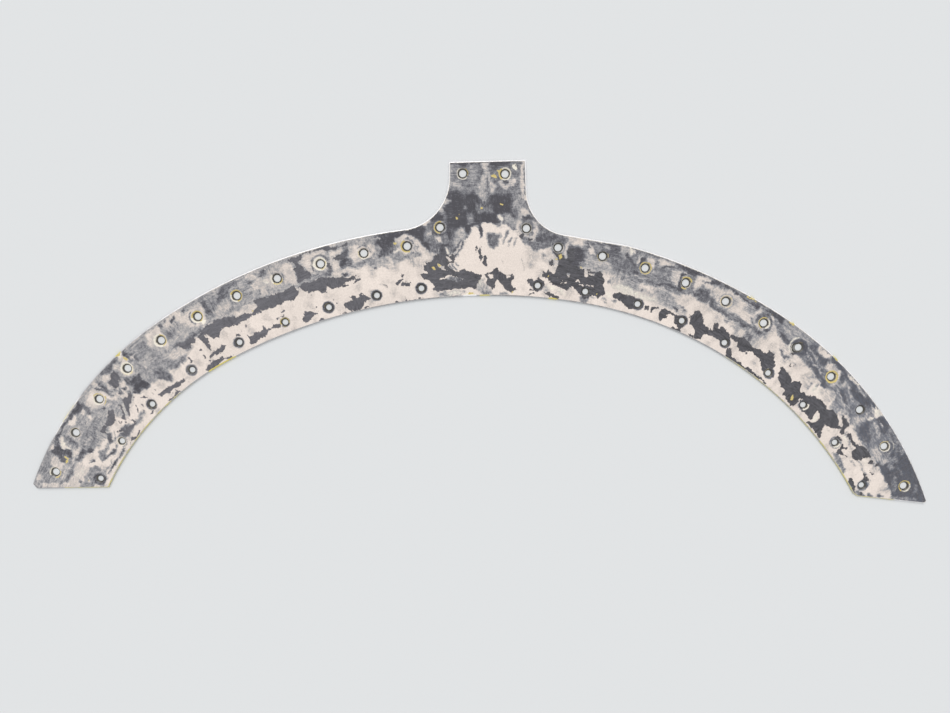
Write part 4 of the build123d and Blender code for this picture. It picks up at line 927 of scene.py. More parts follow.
# %% Patches on the right arm
# On the right arm large slate islands follow the inner half, cut by scratches.
FILM_RIGHT = [
    # a brushed grey film over the outer half
    (0.62, 1.5, [58,6, 66,7, 68,3, 92,0, 130,-1, 160,-1, 200,-1, 256,-1, 300,-1, 356,-1,
        356,20, 340,21, 330,21, 322,23, 310,22, 300,21, 292,20, 284,23, 276,20, 268,20,
        258,18, 244,16, 236,16, 230,17, 222,14, 210,15, 208,20, 196,22, 180,20, 160,18,
        150,18, 140,20, 120,20, 112,21, 100,22, 88,20, 78,20, 70,20, 58,30]),
    (0.96, 1.2, [58,9, 66,8, 69,10, 70,14, 68,17, 66,22, 58,24]),
    (0.1, 0.9, [58,3, 66,3, 66,6, 62,7.4, 58,6]),
    (0.4, 1.6, [70,12, 78,13, 86,13, 92,17, 96,19, 84,20, 72,20, 71,17]),
    (0.12, 0.7, [70,4, 71,8, 74,12, 75,10, 77,11.4, 75,8, 71.6,5]),
    (0.9, 0.6, [70.4,4, 72.4,7, 71,8, 70,6]),
    (0.8, 1, [74,2.4, 90,1.6, 92,4, 91,9, 86,8.6, 82,7, 78,4]),
    (0.5, 0.8, [79,3, 84,3, 86,5.6, 82,6]), (0.32, 0.8, [92,1.4, 98,1.2, 99,4, 94,6, 92,5]),
    (0.06, 0.7, [97.6,1, 101,1.4, 101.6,4.4, 99.4,5.6, 98,3.4]),
    (0.7, 1.4, [90,10, 98,8, 106,11, 108,16, 100,17, 92,14]),
    (0.86, 0.6, [96,4.6, 100,7, 105,10.4, 104,11.4, 99,8.4, 96,6]),
    (0.9, 0.6, [104.6,15, 108,14.4, 109,16, 105,17]),
    (0.3, 0.7, [96,18.8, 104,17.6, 112,16.6, 118,16.4, 118,17.2, 108,18.2, 98,19.6]),
    (0.1, 0.8, [105,5, 107,4, 106.4,8, 106,11, 104.8,9]),
    (0.16, 0.9, [110,3, 114,3.4, 117,5.6, 116.6,9, 118,13, 115.6,13, 114.6,9, 113,6.4,
        110,5]),
    (0.9, 0.8, [106.6,5, 110,4.4, 109,7, 107,10, 106.2,9.6]),
    (0.96, 0.6, [100,0.8, 118,0.8, 130,1, 136,1.2, 140,3, 150,2.4, 146,1.2, 164,1, 167,2.8,
        175,3.4, 186,4.4, 193,5, 192,2.4, 186,3.6, 178,2.6, 168,1.4, 160,0.6, 110,0.4]),
    (0.4, 1, [118,2.6, 128,1.6, 130,3.4, 124,5.4, 121,7, 118,6]),
    (0.1, 0.8, [119,2.4, 124,2.4, 127,4, 121,5.6, 119.6,5]),
    (0.96, 0.5, [130.4,4.2, 126,5.6, 121.4,7.8, 121.6,6.6, 126,4.6, 129.6,3.6]),
    (0.95, 0.8, [131,2.4, 138,1.4, 149,2.6, 148,3.4, 139,5.2, 135,3.4, 132,3.4]),
    (0.22, 1.1, [129,6.6, 133,5, 137,4, 140,6, 137,14, 135,15, 131,13, 129.4,10]),
    (0.98, 0.5, [136.2,6, 138.6,5.6, 137.2,8, 137,10, 138.4,13.4, 140,15, 139.8,18,
        137,17.4, 137.6,15, 135.6,11.6, 135.4,8]),
    (0.94, 0.6, [122,17.4, 128,15.6, 136,15, 137.6,16.2, 130,17, 124,18.4]),
    (0.14, 1, [146,3.4, 152,3.4, 158,5.6, 166,4, 171,2.8, 178,4.4, 186,6, 186,8, 192,9,
        194,4, 197,3.4, 193.6,9, 192,14, 196,16, 188,15.6, 180,15, 172,15, 166,14, 158,9.6,
        151,6.8, 151,10, 148,13, 145.4,10]),
    (0.03, 0.6, [149,3.2, 156,1.6, 156,4.4, 152.4,5, 150.4,4.6]),
    (0.5, 1.3, [186,6, 191,6, 191,10, 184,10]),
    (0.96, 0.7, [156,1.6, 162,1.4, 161,4, 156.4,5.2, 152,5.4, 150.6,4.8, 155.6,4]),
    (0.8, 1, [151,10, 158,11, 164,15, 170,17.6, 180,18.6, 190,17, 196,17.6, 196,19.6,
        184,19.8, 172,19, 162,18, 153,16, 149,16.6, 148,14.4, 152,13.6]),
    (0.1, 0.7, [160,16.2, 161,16, 161.8,18.6, 160.6,18.4]),
    (0.03, 1, [141,19, 147,16, 150,17.4, 156,20, 162,22, 168,25, 172,29.6, 168,30, 163,26,
        158,24, 154,26, 152,29.4, 148,29, 145,22]),
    # the scratched pale zone between the rows, right of the crown
    (0.3, 1.6, [90,20, 98,21, 106,24, 112,21, 118,24, 126,20, 132,21, 140,24, 150,27,
        150,30, 132,31, 120,30, 108,30, 98,30, 90,27]),
    (0.5, 1.6, [100,21, 112,20.6, 110,25, 104,26, 100,24]),
    (0.5, 1.6, [124,21, 134,20, 140,24, 146,26, 142,29, 132,28, 126,26]),
    (0.86, 0.5, [140,28, 143,28.4, 143,29.4, 140.6,29.4]),
    (0.7, 0.5, [144,25.6, 148,26.2, 150,28, 147,27.4]),
    (0.8, 0.5, [110.4,28, 111.6,28, 111.4,30.6, 110.4,30]),
    (0.75, 0.5, [113.6,24, 115,24, 114.6,26, 113.4,25.6]),
    (0.6, 0.5, [89,25, 92,24, 91.4,27, 89.4,27]),
    # under the first hole of the inner row
    (0.62, 0.8, [74,38, 80,38, 79,42, 75,42.8, 72.6,40]),
    (0.6, 0.6, [88,36.4, 92,36.8, 93,37.8, 89,37.8]),
    (0.62, 0.6, [95.4,36.4, 99.4,36, 99,37.4, 96,37.6]),
    (0.6, 0.6, [90.4,38.6, 94,39.2, 93.4,40, 91,39.8]),
    (0.5, 0.6, [80.6,37.4, 84.6,37.8, 84,38.6, 81,38.4]),
    # third stretch
    (0.4, 1, [174,20, 196,19, 205,20, 204,28, 190,29, 186,24, 176,24]),
    (0.04, 0.9, [174,20.4, 181,20.6, 184,22, 180,25, 174,25]),
    (0.08, 0.7, [189,22, 194,21, 193,26, 190,26]),
    (0.7, 0.8, [195.6,21, 200,21, 200,25, 195,24.6]),
    (0.55, 0.7, [176,21, 179.4,20.8, 179,22.6, 177,22.6]),
    (0.5, 1.2, [200,1, 222,1.6, 236,1, 236,8, 228,6, 222,10, 226,14, 222,14.4, 214,12,
        208,10, 204,6, 197,4]),
    (0.96, 0.8, [199,0.8, 208,0.8, 212,1, 212,5, 209.6,5, 207,4, 200,3.4, 198,3]),
    (0.3, 1.2, [193,11, 196,6, 200,4.8, 205,5.6, 209,8, 210,12, 206,16, 200,17, 196,15]),
    (0.88, 1, [197,5, 201,4.4, 206,6, 206,9, 203,7.6, 200,7, 197.4,9, 197,13.6, 195,12,
        195.4,8]),
    (0.06, 0.5, [202.4,4, 204.6,4, 206.4,6, 204.6,6.4]),
    (0.95, 0.5, [203.4,14, 207,12.4, 209,13, 206,16, 204.4,15.8]),
    (0.8, 0.7, [197,15.4, 204,16.6, 204,18.4, 197,18]),
    (0.03, 1.3, [209,9, 214,12, 222,14.6, 225.6,14, 225,8, 228,6, 227.6,9, 227.6,13, 230,15,
        235,15, 244,17, 252,19, 260,20, 272,17, 282,24, 270,25, 262,29, 254,26, 240,28,
        226,27, 218,23, 207,26, 205,20, 208,16]),
    (0.88, 0.8, [214,9, 220,10, 225.6,12, 224,13.6, 216,12.4]),
    (0.86, 0.9, [220.6,18.6, 224.4,18, 226,21, 232,18.6, 231,20, 228.6,23, 226,21.6,
        223.6,20.6]),
    (0.3, 0.7, [213,5, 222,6.6, 222,7.6, 213,6]),
    (0.3, 0.7, [236,6, 246,8.4, 254,10.4, 254,11.4, 246,9.6, 236,7.4]),
    (0.86, 1.2, [240,3, 244,5.6, 250,5.6, 254,3, 256,6, 254,10, 246,8, 236,5.6]),
    (0.02, 0.6, [242,1, 252.6,1.4, 252,3.6, 248,5.4, 245,5, 242.2,2.6]),
    (0.8, 0.9, [238,8.6, 248,10.6, 258,12.6, 262,16, 266,19, 262,19.4, 254,17.4, 246,15.4,
        242,13, 236,11]),
    (0.24, 0.6, [237,9.4, 246,11.6, 256,13.2, 256,14, 246,12.6, 238,10.6]),
    (0.1, 1.1, [254,5, 258,4, 264,2.8, 268,7, 270,11, 268,15, 266,12, 264,7, 258,9,
        255,10]),
    (0.8, 0.5, [254.6,5, 256,4.4, 256,6.2, 255,6.2]),
    (0.9, 0.8, [266,5, 271,4.4, 272.4,7, 271,9.6, 268.4,8]),
    (0.3, 1, [272,6, 275,6, 275,12, 272,11]),
    (0.96, 0.8, [254,1.2, 262,1, 268,2.4, 276,3.6, 288,4, 296,3, 296,5, 292,9, 284,9,
        276,4.6, 266,3.4, 256,3.8]),
    (0.1, 0.5, [269,1.2, 284,1.6, 284,2.6, 274,3, 270,2.2]),
    (0.1, 0.5, [284,3, 293,3, 293,3.8, 290,3.8, 285,3.6]),
    (0.28, 0.6, [275,6, 282,9, 288,11.6, 288,12.6, 282,10.4, 275,7.4]),
    (0.28, 0.6, [272,13, 280,15, 290,18.6, 290,19.4, 280,16.6, 272,14.4]),
    (0.9, 0.8, [274,11.6, 282,13, 286,15, 284,16, 278,14.6]),
    (0.96, 0.9, [259,16, 264,16, 266,18.6, 262,19.4]),
    (0.04, 0.8, [269,19, 273,16, 276,17, 278,22, 274,24, 269,23]),
    (0.04, 0.8, [286.6,20, 290,19.4, 290,24, 287.6,23.4]),
    (0.2, 0.7, [276,17, 280,24, 279,25.6, 276,20]),
    (0.5, 1, [276,20, 286,21, 286,25, 280,26]),
    (0.5, 0.8, [255,22, 257,22, 258,28, 256,27]),
    (0.5, 0.8, [259.6,20, 261,20, 261.6,26, 260,25]),
    # right foot
    (0.92, 1.2, [290,1, 300,1, 300,4, 292,8]),
    (0.02, 0.7, [300,1, 309,0.6, 308,3, 306.4,6, 306,9, 304.4,11, 304,8, 305.4,5.4,
        301,3.4]),
    (0.16, 0.5, [297,3, 300,3.6, 304,5.4, 303,6, 299,4.4]),
    (0.3, 1.3, [300,9, 304,10, 303,17, 304,20, 298,20, 297,15, 301,12]),
    (0.96, 1.1, [308,1.6, 318,0.8, 318,4, 322,6, 320,8, 314,7.4, 310,6, 307.4,6]),
    (0.12, 0.5, [311,5.2, 315,4.2, 316,5.2, 313,5.8]),
    (0.88, 1.2, [306,12, 312,14, 318,16, 320,20, 312,21, 306,20]),
    (0.3, 0.8, [309,8, 316,9, 321,11.4, 317,11, 309,9.6]),
    (0.96, 1, [318,4, 324,3, 334,4, 340,7, 346,9, 356,9, 356,2, 340,1, 340,4, 330,3]),
    (0.96, 0.7, [334,6.6, 338,7, 338.6,9, 336,10.6, 334.6,10]),
    (0.22, 0.7, [345,2, 354,1.4, 354,2.4, 346,3.4]),
    (0.2, 0.9, [336,15, 340,13, 346,12, 347,13.4, 342,15.4, 338,17.6, 335,17]),
    (0.3, 1.6, [330,15, 336,17, 335,20, 330,21]),
    (0.92, 1, [342,15, 356,13, 356,20.4, 346,20, 341,18]),
    (0.3, 1, [324,13, 332,14, 331,20, 325,20]),
    (0.3, 1.1, [302,26, 312,27.6, 318,30, 318,32, 308,31, 303,29]),
    (0.06, 0.8, [302,29, 308,29, 314,30.6, 317,32, 310,32.4, 303,32]),
    (0.55, 0.8, [312,39, 318,39.6, 328,41, 330,43.4, 318,43.6, 310,42.4]),
    (0.34, 0.8, [324,33, 330,34.6, 329,35.6, 323,34.8]),
    (0.36, 0.9, [325,29.6, 340,30, 340,31.2, 326,31]),
    (0.2, 0.8, [291,34.8, 296,35.4, 295,36.4, 291,36]),
]
SLATE_RIGHT = [
    (1, [58,21, 66,20, 69,21, 73,22.4, 76,21.8, 83,21.4, 85,23, 87.4,25.6, 86.2,28.6,
        88.4,30.6, 89.8,32.6, 89,35, 87,36, 86.4,38, 85,38.4, 84.6,36.6, 82,36.8, 79,38,
        77.6,39.6, 74,39, 71,37.4, 68.6,36, 66.6,34, 64,34.4, 62.4,36, 58,35.8]),
    (0, [72.4,22, 74,22, 74.6,24, 74.4,26, 73,26.2, 72.4,24]),
    (0, [75,23.2, 79.4,23, 79.4,24, 75.6,24.1]),
    (0, [67.6,29.4, 69.4,28.8, 69.4,30, 67.8,30.6]),
    (0, [70,31.6, 71.4,30.8, 76,30.8, 80,30.9, 80.8,31.6, 76,31.5, 72,31.6]),
    (0, [60.9,25, 62.1,25.2, 62,28, 61,27.6]),
    (0, [58,32, 61.6,31.2, 61.4,32.2, 58.4,32.8]),
    (1, [73,21, 78,21.6, 82,21.4, 82,22, 74,22.2]),
    (1, [94.4,34, 96.6,32.4, 96,31, 97.6,31.6, 101,30.4, 108,30.3, 113,30.8, 116,31.8,
        118,34, 116,38, 112,38, 110.6,39, 108,38, 104,36.4, 99,34.8]),
    (1, [120,33.4, 123,33.2, 123.8,36, 120.6,36.2]),
    (1, [125.6,33, 127,31.4, 130,30.8, 130.2,32, 128,33, 127,36, 125.4,36.4, 125.2,34.6]),
    (1, [132,32.4, 134,30.8, 137,31, 137.8,32.4, 138,36, 135.6,37.6, 134.6,39.4, 132.6,38.4,
        132,36]),
    (1, [137.4,31, 142,31.8, 146,31.4, 149,31, 152,31.4, 152.4,34, 152,38, 150.6,40.6,
        146,38, 144,36.8, 143.4,34, 140,33, 137.6,33]),
    (1, [144,40.6, 150,40, 153,40.6, 152,42, 145,42]),
    (1, [153.8,24.4, 157,23.4, 160,24.4, 163,27, 166,29.4, 168,30.6, 172,31, 171,28.6,
        171,27, 175,25.6, 180,26, 184,27.6, 186.6,30, 188,33, 187.6,36, 186,37, 184,36.8,
        183.6,35.6, 178,35, 172,35, 169,35.6, 168,38, 168,40, 160,41, 158,40, 162,39,
        161,36.6, 158.6,34, 156,33.6, 155,32.4, 152.6,31, 153,28.6, 155,26.6, 154.6,25.4]),
    (0, [169.4,35.6, 178,35.4, 184,37, 188,38, 188.6,41, 182,41, 176,40, 168.6,39.6,
        168.4,37.6]),
    (0, [162,24, 164.6,26.6, 168,29.6, 172,30.6, 169,30.9, 165,30, 162.6,27]),
    (0, [175,24.6, 176.2,25, 176,27.6, 174.8,27.4]),
    (0, [184.4,26, 187,29, 186.4,29.8, 184,27.4]),
    (1, [186.6,27.6, 192,27, 195,25, 199,25.6, 202,27.6, 208,27.4, 209,26, 215,26.6, 216,24,
        221,23.2, 222,25, 223.6,27, 227,29.6, 226.6,32, 228.6,35, 228.6,37.6, 226,39,
        222,38, 219.6,36, 216,33, 212,31.4, 206,30.6, 202,31, 201,33, 198.6,34.6,
        195.4,33.4, 193.6,31, 193,30, 188.6,30.4, 186.8,30]),
    (1, [182,30, 188.6,31.6, 188.4,35.6, 185,37]),
    (1, [189,36, 192,35.8, 193.6,38, 196,40, 202,41, 214,40.6, 222,41.6, 230,42, 230,43,
        200,42.4, 190,42]),
    (1, [202.6,32.4, 203.6,33, 203,34.6, 201.6,34]),
    (1, [228,34.6, 231,35, 231.4,36, 228.6,36.4]),
    (0, [223,33.6, 225,33.4, 225,35, 223.4,35.2]),
    (1, [220.4,41.4, 222,40.6, 226,42, 222,42.4]),
    (1, [230.6,28.6, 233,26.8, 238,28, 241,28.2, 243.6,30.6, 246,28.6, 249,26.6, 251,27.4,
        253,31, 255,32.2, 256.6,30, 259,31, 262,29.4, 266,26.6, 272,26, 280,27, 283,24.6,
        288,24, 290,26, 296,28, 297,30.6, 294,32.6, 290,33.6, 287.6,35, 288,37, 290,40,
        292,42.4, 288,43, 276,43, 276.6,40.6, 279,40.8, 281,38, 280.4,35, 277,32.6,
        274.6,32.4, 275,35, 277,38, 276.4,39.6, 272,40.6, 268,39.8, 264,38.6, 260.6,36.8,
        258.6,38.6, 258.8,42.4, 256,43, 250,41.4, 246.6,40, 246,37.8, 240,37.6, 237.4,36.4,
        235,34, 231,32.4]),
    (0, [243,29, 244.2,29.2, 245,30.6, 244,31]),
    (0, [258,34.8, 259,34.6, 259.4,36.4, 258.2,36.6]),
    (1, [245.8,37.6, 247,40, 246,42, 244.6,40]),
    (1, [234.2,24.4, 235.2,21.8, 237,21, 238,22, 236.8,24.2]),
    (0, [235.2,22.4, 236.8,21.9, 236.6,23.2, 235.4,23.6]),
    (1, [229.4,15.6, 232.6,15.2, 231.6,16.8, 229.8,16.8]),
    (1, [290.6,21, 294,22.4, 299,21.6, 300.6,24, 300.4,27, 303,28, 305,25.6, 311,26.4,
        317,25, 318,23, 324,21.6, 330,22, 329,25, 326,27, 328,29.4, 326,31.6, 322,32.4,
        318,31.6, 318,28, 313,27.4, 306,28, 304,27.6, 300,29.8, 297.6,27.6, 296,25.6,
        291.6,24]),
    (0, [302,22, 308,23, 318,22, 317,24.4, 311,25.6, 304,24.6]),
    (1, [296,27, 299,29, 303,29.4, 300,30.2, 296.6,28.6]),
    (1, [308.6,33.4, 313,32.4, 315.6,32.8, 312,34, 312,35.6, 316,36.4, 320,35.6, 318.6,37,
        315,38, 314,39.4, 311,39.6, 309.4,37]),
    (1, [300.4,32.6, 304,31.8, 307,33, 305,33.6, 302.6,33.6, 301,35.4, 300,34.6]),
    (1, [338.6,26.6, 341,26.8, 343.6,26.2, 343,27.4, 339.6,28]),
    (1, [331.4,23, 333,21.4, 335,22, 335,24.4, 332.6,25.6]),
    (1, [336.6,20, 339,18.6, 340.6,18.6, 338.6,21, 338,23.4, 336.6,23]),
    (1, [338,31, 341,31.4, 343,29.6, 345,30.4, 344.6,33, 343,35, 341.4,34, 340,32.8,
        338.4,32.6]),
    (1, [335,40.6, 340,39.8, 345,41, 349,42, 352,43, 346,43.6, 337,42.6]),
    (1, [350.6,38.6, 353,38.4, 354,40, 351.6,39.8]), (1, [336,36.2, 337.6,36.4, 337,37.2]),
    (1, [290,40, 293,41.4, 293,43.4, 289,43.4]),
]
YELLOW_RIGHT = [
    [251.6,36.6, 253,36.4, 255.6,39, 255.2,39.8, 254,39.8, 252.4,38],
    [324.6,9.6, 326,8.8, 326.4,10.6, 325.4,11.4], [223.4,33.6, 225,33.4, 224.6,34.8],
    [179,1, 190,1.2, 188,1.8, 182,1.8], [214,0.5, 220,0.5, 219,1.2, 215,1.1],
    [253,-0.4, 258,-0.4, 257,0.9, 254,0.9], [79.6,11.6, 80.6,11.4, 80.6,13.8, 79.4,13.4],
    [202.2,2.6, 203.4,2.6, 203.2,3.4, 202.4,3.4],
    [83.6,34.2, 84.6,34.2, 84.4,35.6, 83.6,35.4], [68.6,20, 70.4,20.4, 69.6,21.2],
]
WHITE_RIGHT = [
    (0.5, 0.8, [97.6,1, 101,1.4, 101.6,4.4, 99.4,5.6, 98,3.4]),
    (0.5, 2, [90,28, 98,24, 112,26, 126,26, 130,30, 116,31, 98,31]),
    (0.5, 1, [92,30, 96,35, 92,36, 90,33]),
    (0.6, 0.7, [277,34, 279,35, 281,38, 280,40, 277.6,40]),
    (0.5, 1.4, [258,21, 266,22, 266,27, 260,28]),
    (0.6, 0.7, [269,1.2, 284,1.6, 284,2.6, 270,2.2]),
    (0.5, 1, [302,28, 308,29, 312,31, 304,32]),
    (0.5, 0.6, [300,1, 309,0.6, 308,3, 306.4,6, 306,9, 304.4,11, 304,8, 305.4,5.4,
        301,3.4]),
    (0.4, 2, [326,24, 334,26, 338,29, 328,29]),
]
print("patches on the right arm:", sum(map(len, (FILM_RIGHT, SLATE_RIGHT, YELLOW_RIGHT,
    WHITE_RIGHT))))

# %% Patches on the feet and in the fan
# The feet are greyed right up to their cut ends. Strokes of a scraper frame the fan.
FILM_FEET = [
    (0.5, 1.4, [-374,-2, -343,-2, -344,16, -345,22, -358,21, -366,17, -372,7]),
    (0.62, 1.2, [-361,0, -352,1, -350,5, -357,5, -361,4]),
    (0.08, 0.8, [-350,6, -345,6, -345,14, -352,14, -352,9]),
    (0.25, 0.9, [-366,1, -361,1, -362,3.5, -366,4]),
    (0.26, 1, [-358,16, -347,16, -347,19, -356,19]),
    (0.68, 0.9, [-358,19, -345,20, -345,22, -358,21.5]),
    (0.2, 1.6, [-361,22, -340,22, -340,30, -357,29]),
    (0.75, 0.6, [-354.5,28, -352.5,28, -352.5,29.6, -354.5,29.6]),
    (0.52, 1.1, [-358,30, -340,30, -338,34, -337,40, -340,42, -350,42, -355,38, -357,34]),
    (0.08, 0.6, [-351.5,33.5, -349,33.5, -349,35, -351.5,35]),
    (0.1, 0.7, [-354,38, -349,38, -349,41, -352,41.5, -354,40]),
    (0.6, 0.6, [-352,36, -349,35.5, -349,37, -351.5,37.5]),
    (0.4, 0.8, [-351,42.4, -340,42.8, -340,44.2, -350,44.2]),
    (0.2, 0.8, [-370,5, -366.5,5, -357,29, -359.5,30]),
    (0.95, 1, [343,0, 390,-2, 386,4, 376,12, 367,20.6, 340,20.5, 340,15, 344,8]),
    (0.58, 0.9, [341,12, 346.5,12.5, 346,15, 342,16.5]),
    (0.62, 0.9, [350,14, 357,14, 364,18.6, 360,19.5, 352,16]),
    (0.72, 0.8, [346,9, 352,8, 352,9.4, 346,10.4]),
    (0.7, 0.8, [364,3, 370,4, 368,7, 364,5]),
    (0.62, 0.7, [373,7, 376,7, 366.5,22, 364.5,22]),
    (0.8, 0.9, [359,27.6, 362.5,27, 361,30, 358,29.5]),
    (0.8, 0.8, [354,34.2, 359,32, 358.5,36, 354,35.2]),
    (0.8, 0.8, [349,39.4, 357,37, 355,42.4, 349,41]),
    (0.75, 0.8, [338,41.4, 348,42.4, 354,41.6, 352,44, 338,44]),
    (0.35, 0.6, [345,29, 349,31, 350,35, 348.6,35, 347,32]),
]
FILM_FAN = [
    (0.04, 0.6, [-6.2,2, -4,1.2, -2,5, -0.4,9.6, -2.6,9.6, -5,6.4]),
    (0.95, 0.5, [-2.4,-1, -0.2,-1.4, 0.8,3.6, 0.6,7.6, -0.2,8, -1.4,4]),
    (0.04, 0.6, [0,-1, 1.2,-1.6, 10,1.6, 11,4.4, 3,5, 1,4]),
    (0.74, 1.2, [4,5.4, 11.4,5, 13,7.6, 11,12, 8.6,15, 5.4,14, 3.6,9.6]),
    (0.55, 0.8, [6.6,7.4, 9,7.4, 9,10.6, 7,11]),
    (0.3, 1, [-11.8,10.2, -9.8,10.8, -16.4,20.6, -18.6,21]),
    (0.85, 0.5, [-11.4,10.2, -10.6,10.6, -17,20, -18,19.6]),
    (0.85, 0.5, [-13.6,9.6, -12.8,9.8, -19.4,18.8, -20.4,18.4]),
    (0.8, 0.5, [-22.4,25, -21.4,24.8, -18.8,28.8, -19.8,29]),
    (0.8, 0.5, [-20.6,24.4, -19.8,24.2, -16.6,28.6, -17.6,28.8]),
    (0.8, 0.5, [-18.8,23.4, -18,23.2, -14.8,26, -15.6,26.4]),
    (0.62, 0.6, [17,3, 17.9,3, 16.4,8, 15.2,8]), (0.6, 0.6, [15.4,7, 16.4,7, 14,12, 13,12]),
    (0.62, 0.6, [19.6,7, 20.6,7, 18.6,12.8, 17.6,12.8]),
    (0.55, 0.6, [22.4,7, 23.4,7, 22,13, 21,13]),
    (0.36, 0.7, [27.2,20, 28.2,20, 31.2,27, 30.2,27]),
    (0.34, 0.8, [14.6,22, 15.8,22, 15.6,23.4, 14.6,23.4]),
    (0.55, 0.5, [-47,11.4, -46.2,11.4, -45.6,15, -46.6,15]),
    (0.55, 0.5, [-45,11, -44.2,11, -43.6,15, -44.6,15]),
    (0.5, 0.5, [-43.2,10.6, -42.4,10.6, -41.6,14.4, -42.6,14.4]),
    (0.45, 0.6, [-46.6,16, -45.8,16, -46,24, -46.8,24]),
    (0.85, 0.6, [-48.6,5.6, -47.4,5.4, -44.6,7.6, -45.4,8.4]),
    (0.22, 0.8, [-24,15.4, -22.6,14.8, -22.2,19, -23.8,19]),
    (0.3, 1, [-13,2, -11,2, -11,8, -13.4,8]),
]
print("patches on the feet and in the fan:", sum(map(len, (FILM_FEET, FILM_FAN))))

# %% All patches by coat
GREY_FILM = FILM_CENTRE + CUT_FILM_CENTRE + FILM_LEFT + FILM_RIGHT + FILM_FEET + FILM_FAN
GREY_CHIPS = SLATE_CENTRE + SLATE_LEFT + SLATE_RIGHT
PRIMER_SPOTS = YELLOW_CENTRE + YELLOW_LEFT + YELLOW_RIGHT
CHALK_MARKS = WHITE_CENTRE + WHITE_LEFT + WHITE_RIGHT
print("patches in all:", sum(map(len, (GREY_FILM, GREY_CHIPS, PRIMER_SPOTS, CHALK_MARKS))))


# %% [markdown]
# ## Worn paint, laid on as a painter would
#
# The strip carries a cream coat, a grey one over it and rubbed films between the two,
# with yellow-green primer where both are gone. Such wear could be left to noise alone,
# but on the real part every chip has its place. So each patch is an outline drawn in the
# strip's own millimetres: its station along the outer edge, minus to the left, and its
# inset from that edge. The patches are laid on the points in order, each with a soft
# feathered rim, and the materials later tear those rims ragged.

# %% Laying patches on the points
strip = np.stack(station_of(OUTER, points[:, :2]), -1)
WAVES = 9           # sines that are summed for a wobble
MEAN_R = 300        # the strip's radius, on the whole


def wobble(at, length, reach, seed):
    """Smooth waves that bend the listed outlines: in each direction the mean of nine
    sines of seeded headings and phases, about a length long. The mean of so many is
    small, and 2.4 brings it up to the reach."""
    rng = np.random.default_rng(seed)
    heading, phase = rng.uniform(0, 2 * math.pi, (2, WAVES, 2))
    pitch = 2 * math.pi / length * rng.uniform(0.6, 1.7, (WAVES, 2))
    wave = at[:, 0, None, None] * np.cos(heading) + at[:, 1, None, None] * np.sin(heading)
    return 2.4 * reach * np.sin(wave * pitch + phase).mean(1)


# the listed outlines are read through a coarse and a fine wobble
bent = strip + wobble(strip, 8.0, 0.55, 3) + wobble(strip, 2.6, 0.4, 4)
print("stations:", strip[:, 0].min().round(), "to", strip[:, 0].max().round(), "mm")


def laid(patches, at, film=None):
    """Coats every point in turn: film += (strength - film) m, where the mask m goes
    smoothly from 0 to 1 across the feather, 0.5 on the outline itself."""
    film = np.zeros(len(at)) if film is None else film.copy()
    for strength, feather, flat in patches:
        loop = np.array(flat, float).reshape(-1, 2)
        near = ((at > loop.min(0) - feather) & (at < loop.max(0) + feather)).all(1)
        if near.any():
            distance, inside = to_loop(at[near], loop)
            inward = np.where(inside, distance, -distance)
            mask = np.clip(0.5 + inward / (2 * feather), 0, 1)
            film[near] += (strength - film[near]) * mask * mask * (3 - 2 * mask)
    return film


def crescent(hole, inner, outer, toward=0, spread=360, points_on=26):
    """Outline of a ring or crescent about a hole, in station and inset: an outer arc
    out and an inner arc back, both centred on the bearing toward, in degrees, where 0
    is along the strip to the right and 90 is towards the inner edge."""
    half = math.radians(spread) / 2
    angle = math.radians(toward) + np.linspace(-half, half, points_on)
    wide = np.concatenate([np.full(points_on, outer), np.full(points_on, inner)])
    angle = np.concatenate([angle, angle[::-1]])
    middle = np.array(station_of(OUTER, hole))
    ring = np.stack([np.cos(angle), np.sin(angle)], -1) * wide[:, None]
    ring[:, 0] /= 1 - middle[1] / MEAN_R   # a station is shorter further in
    return (middle + ring).ravel().tolist()
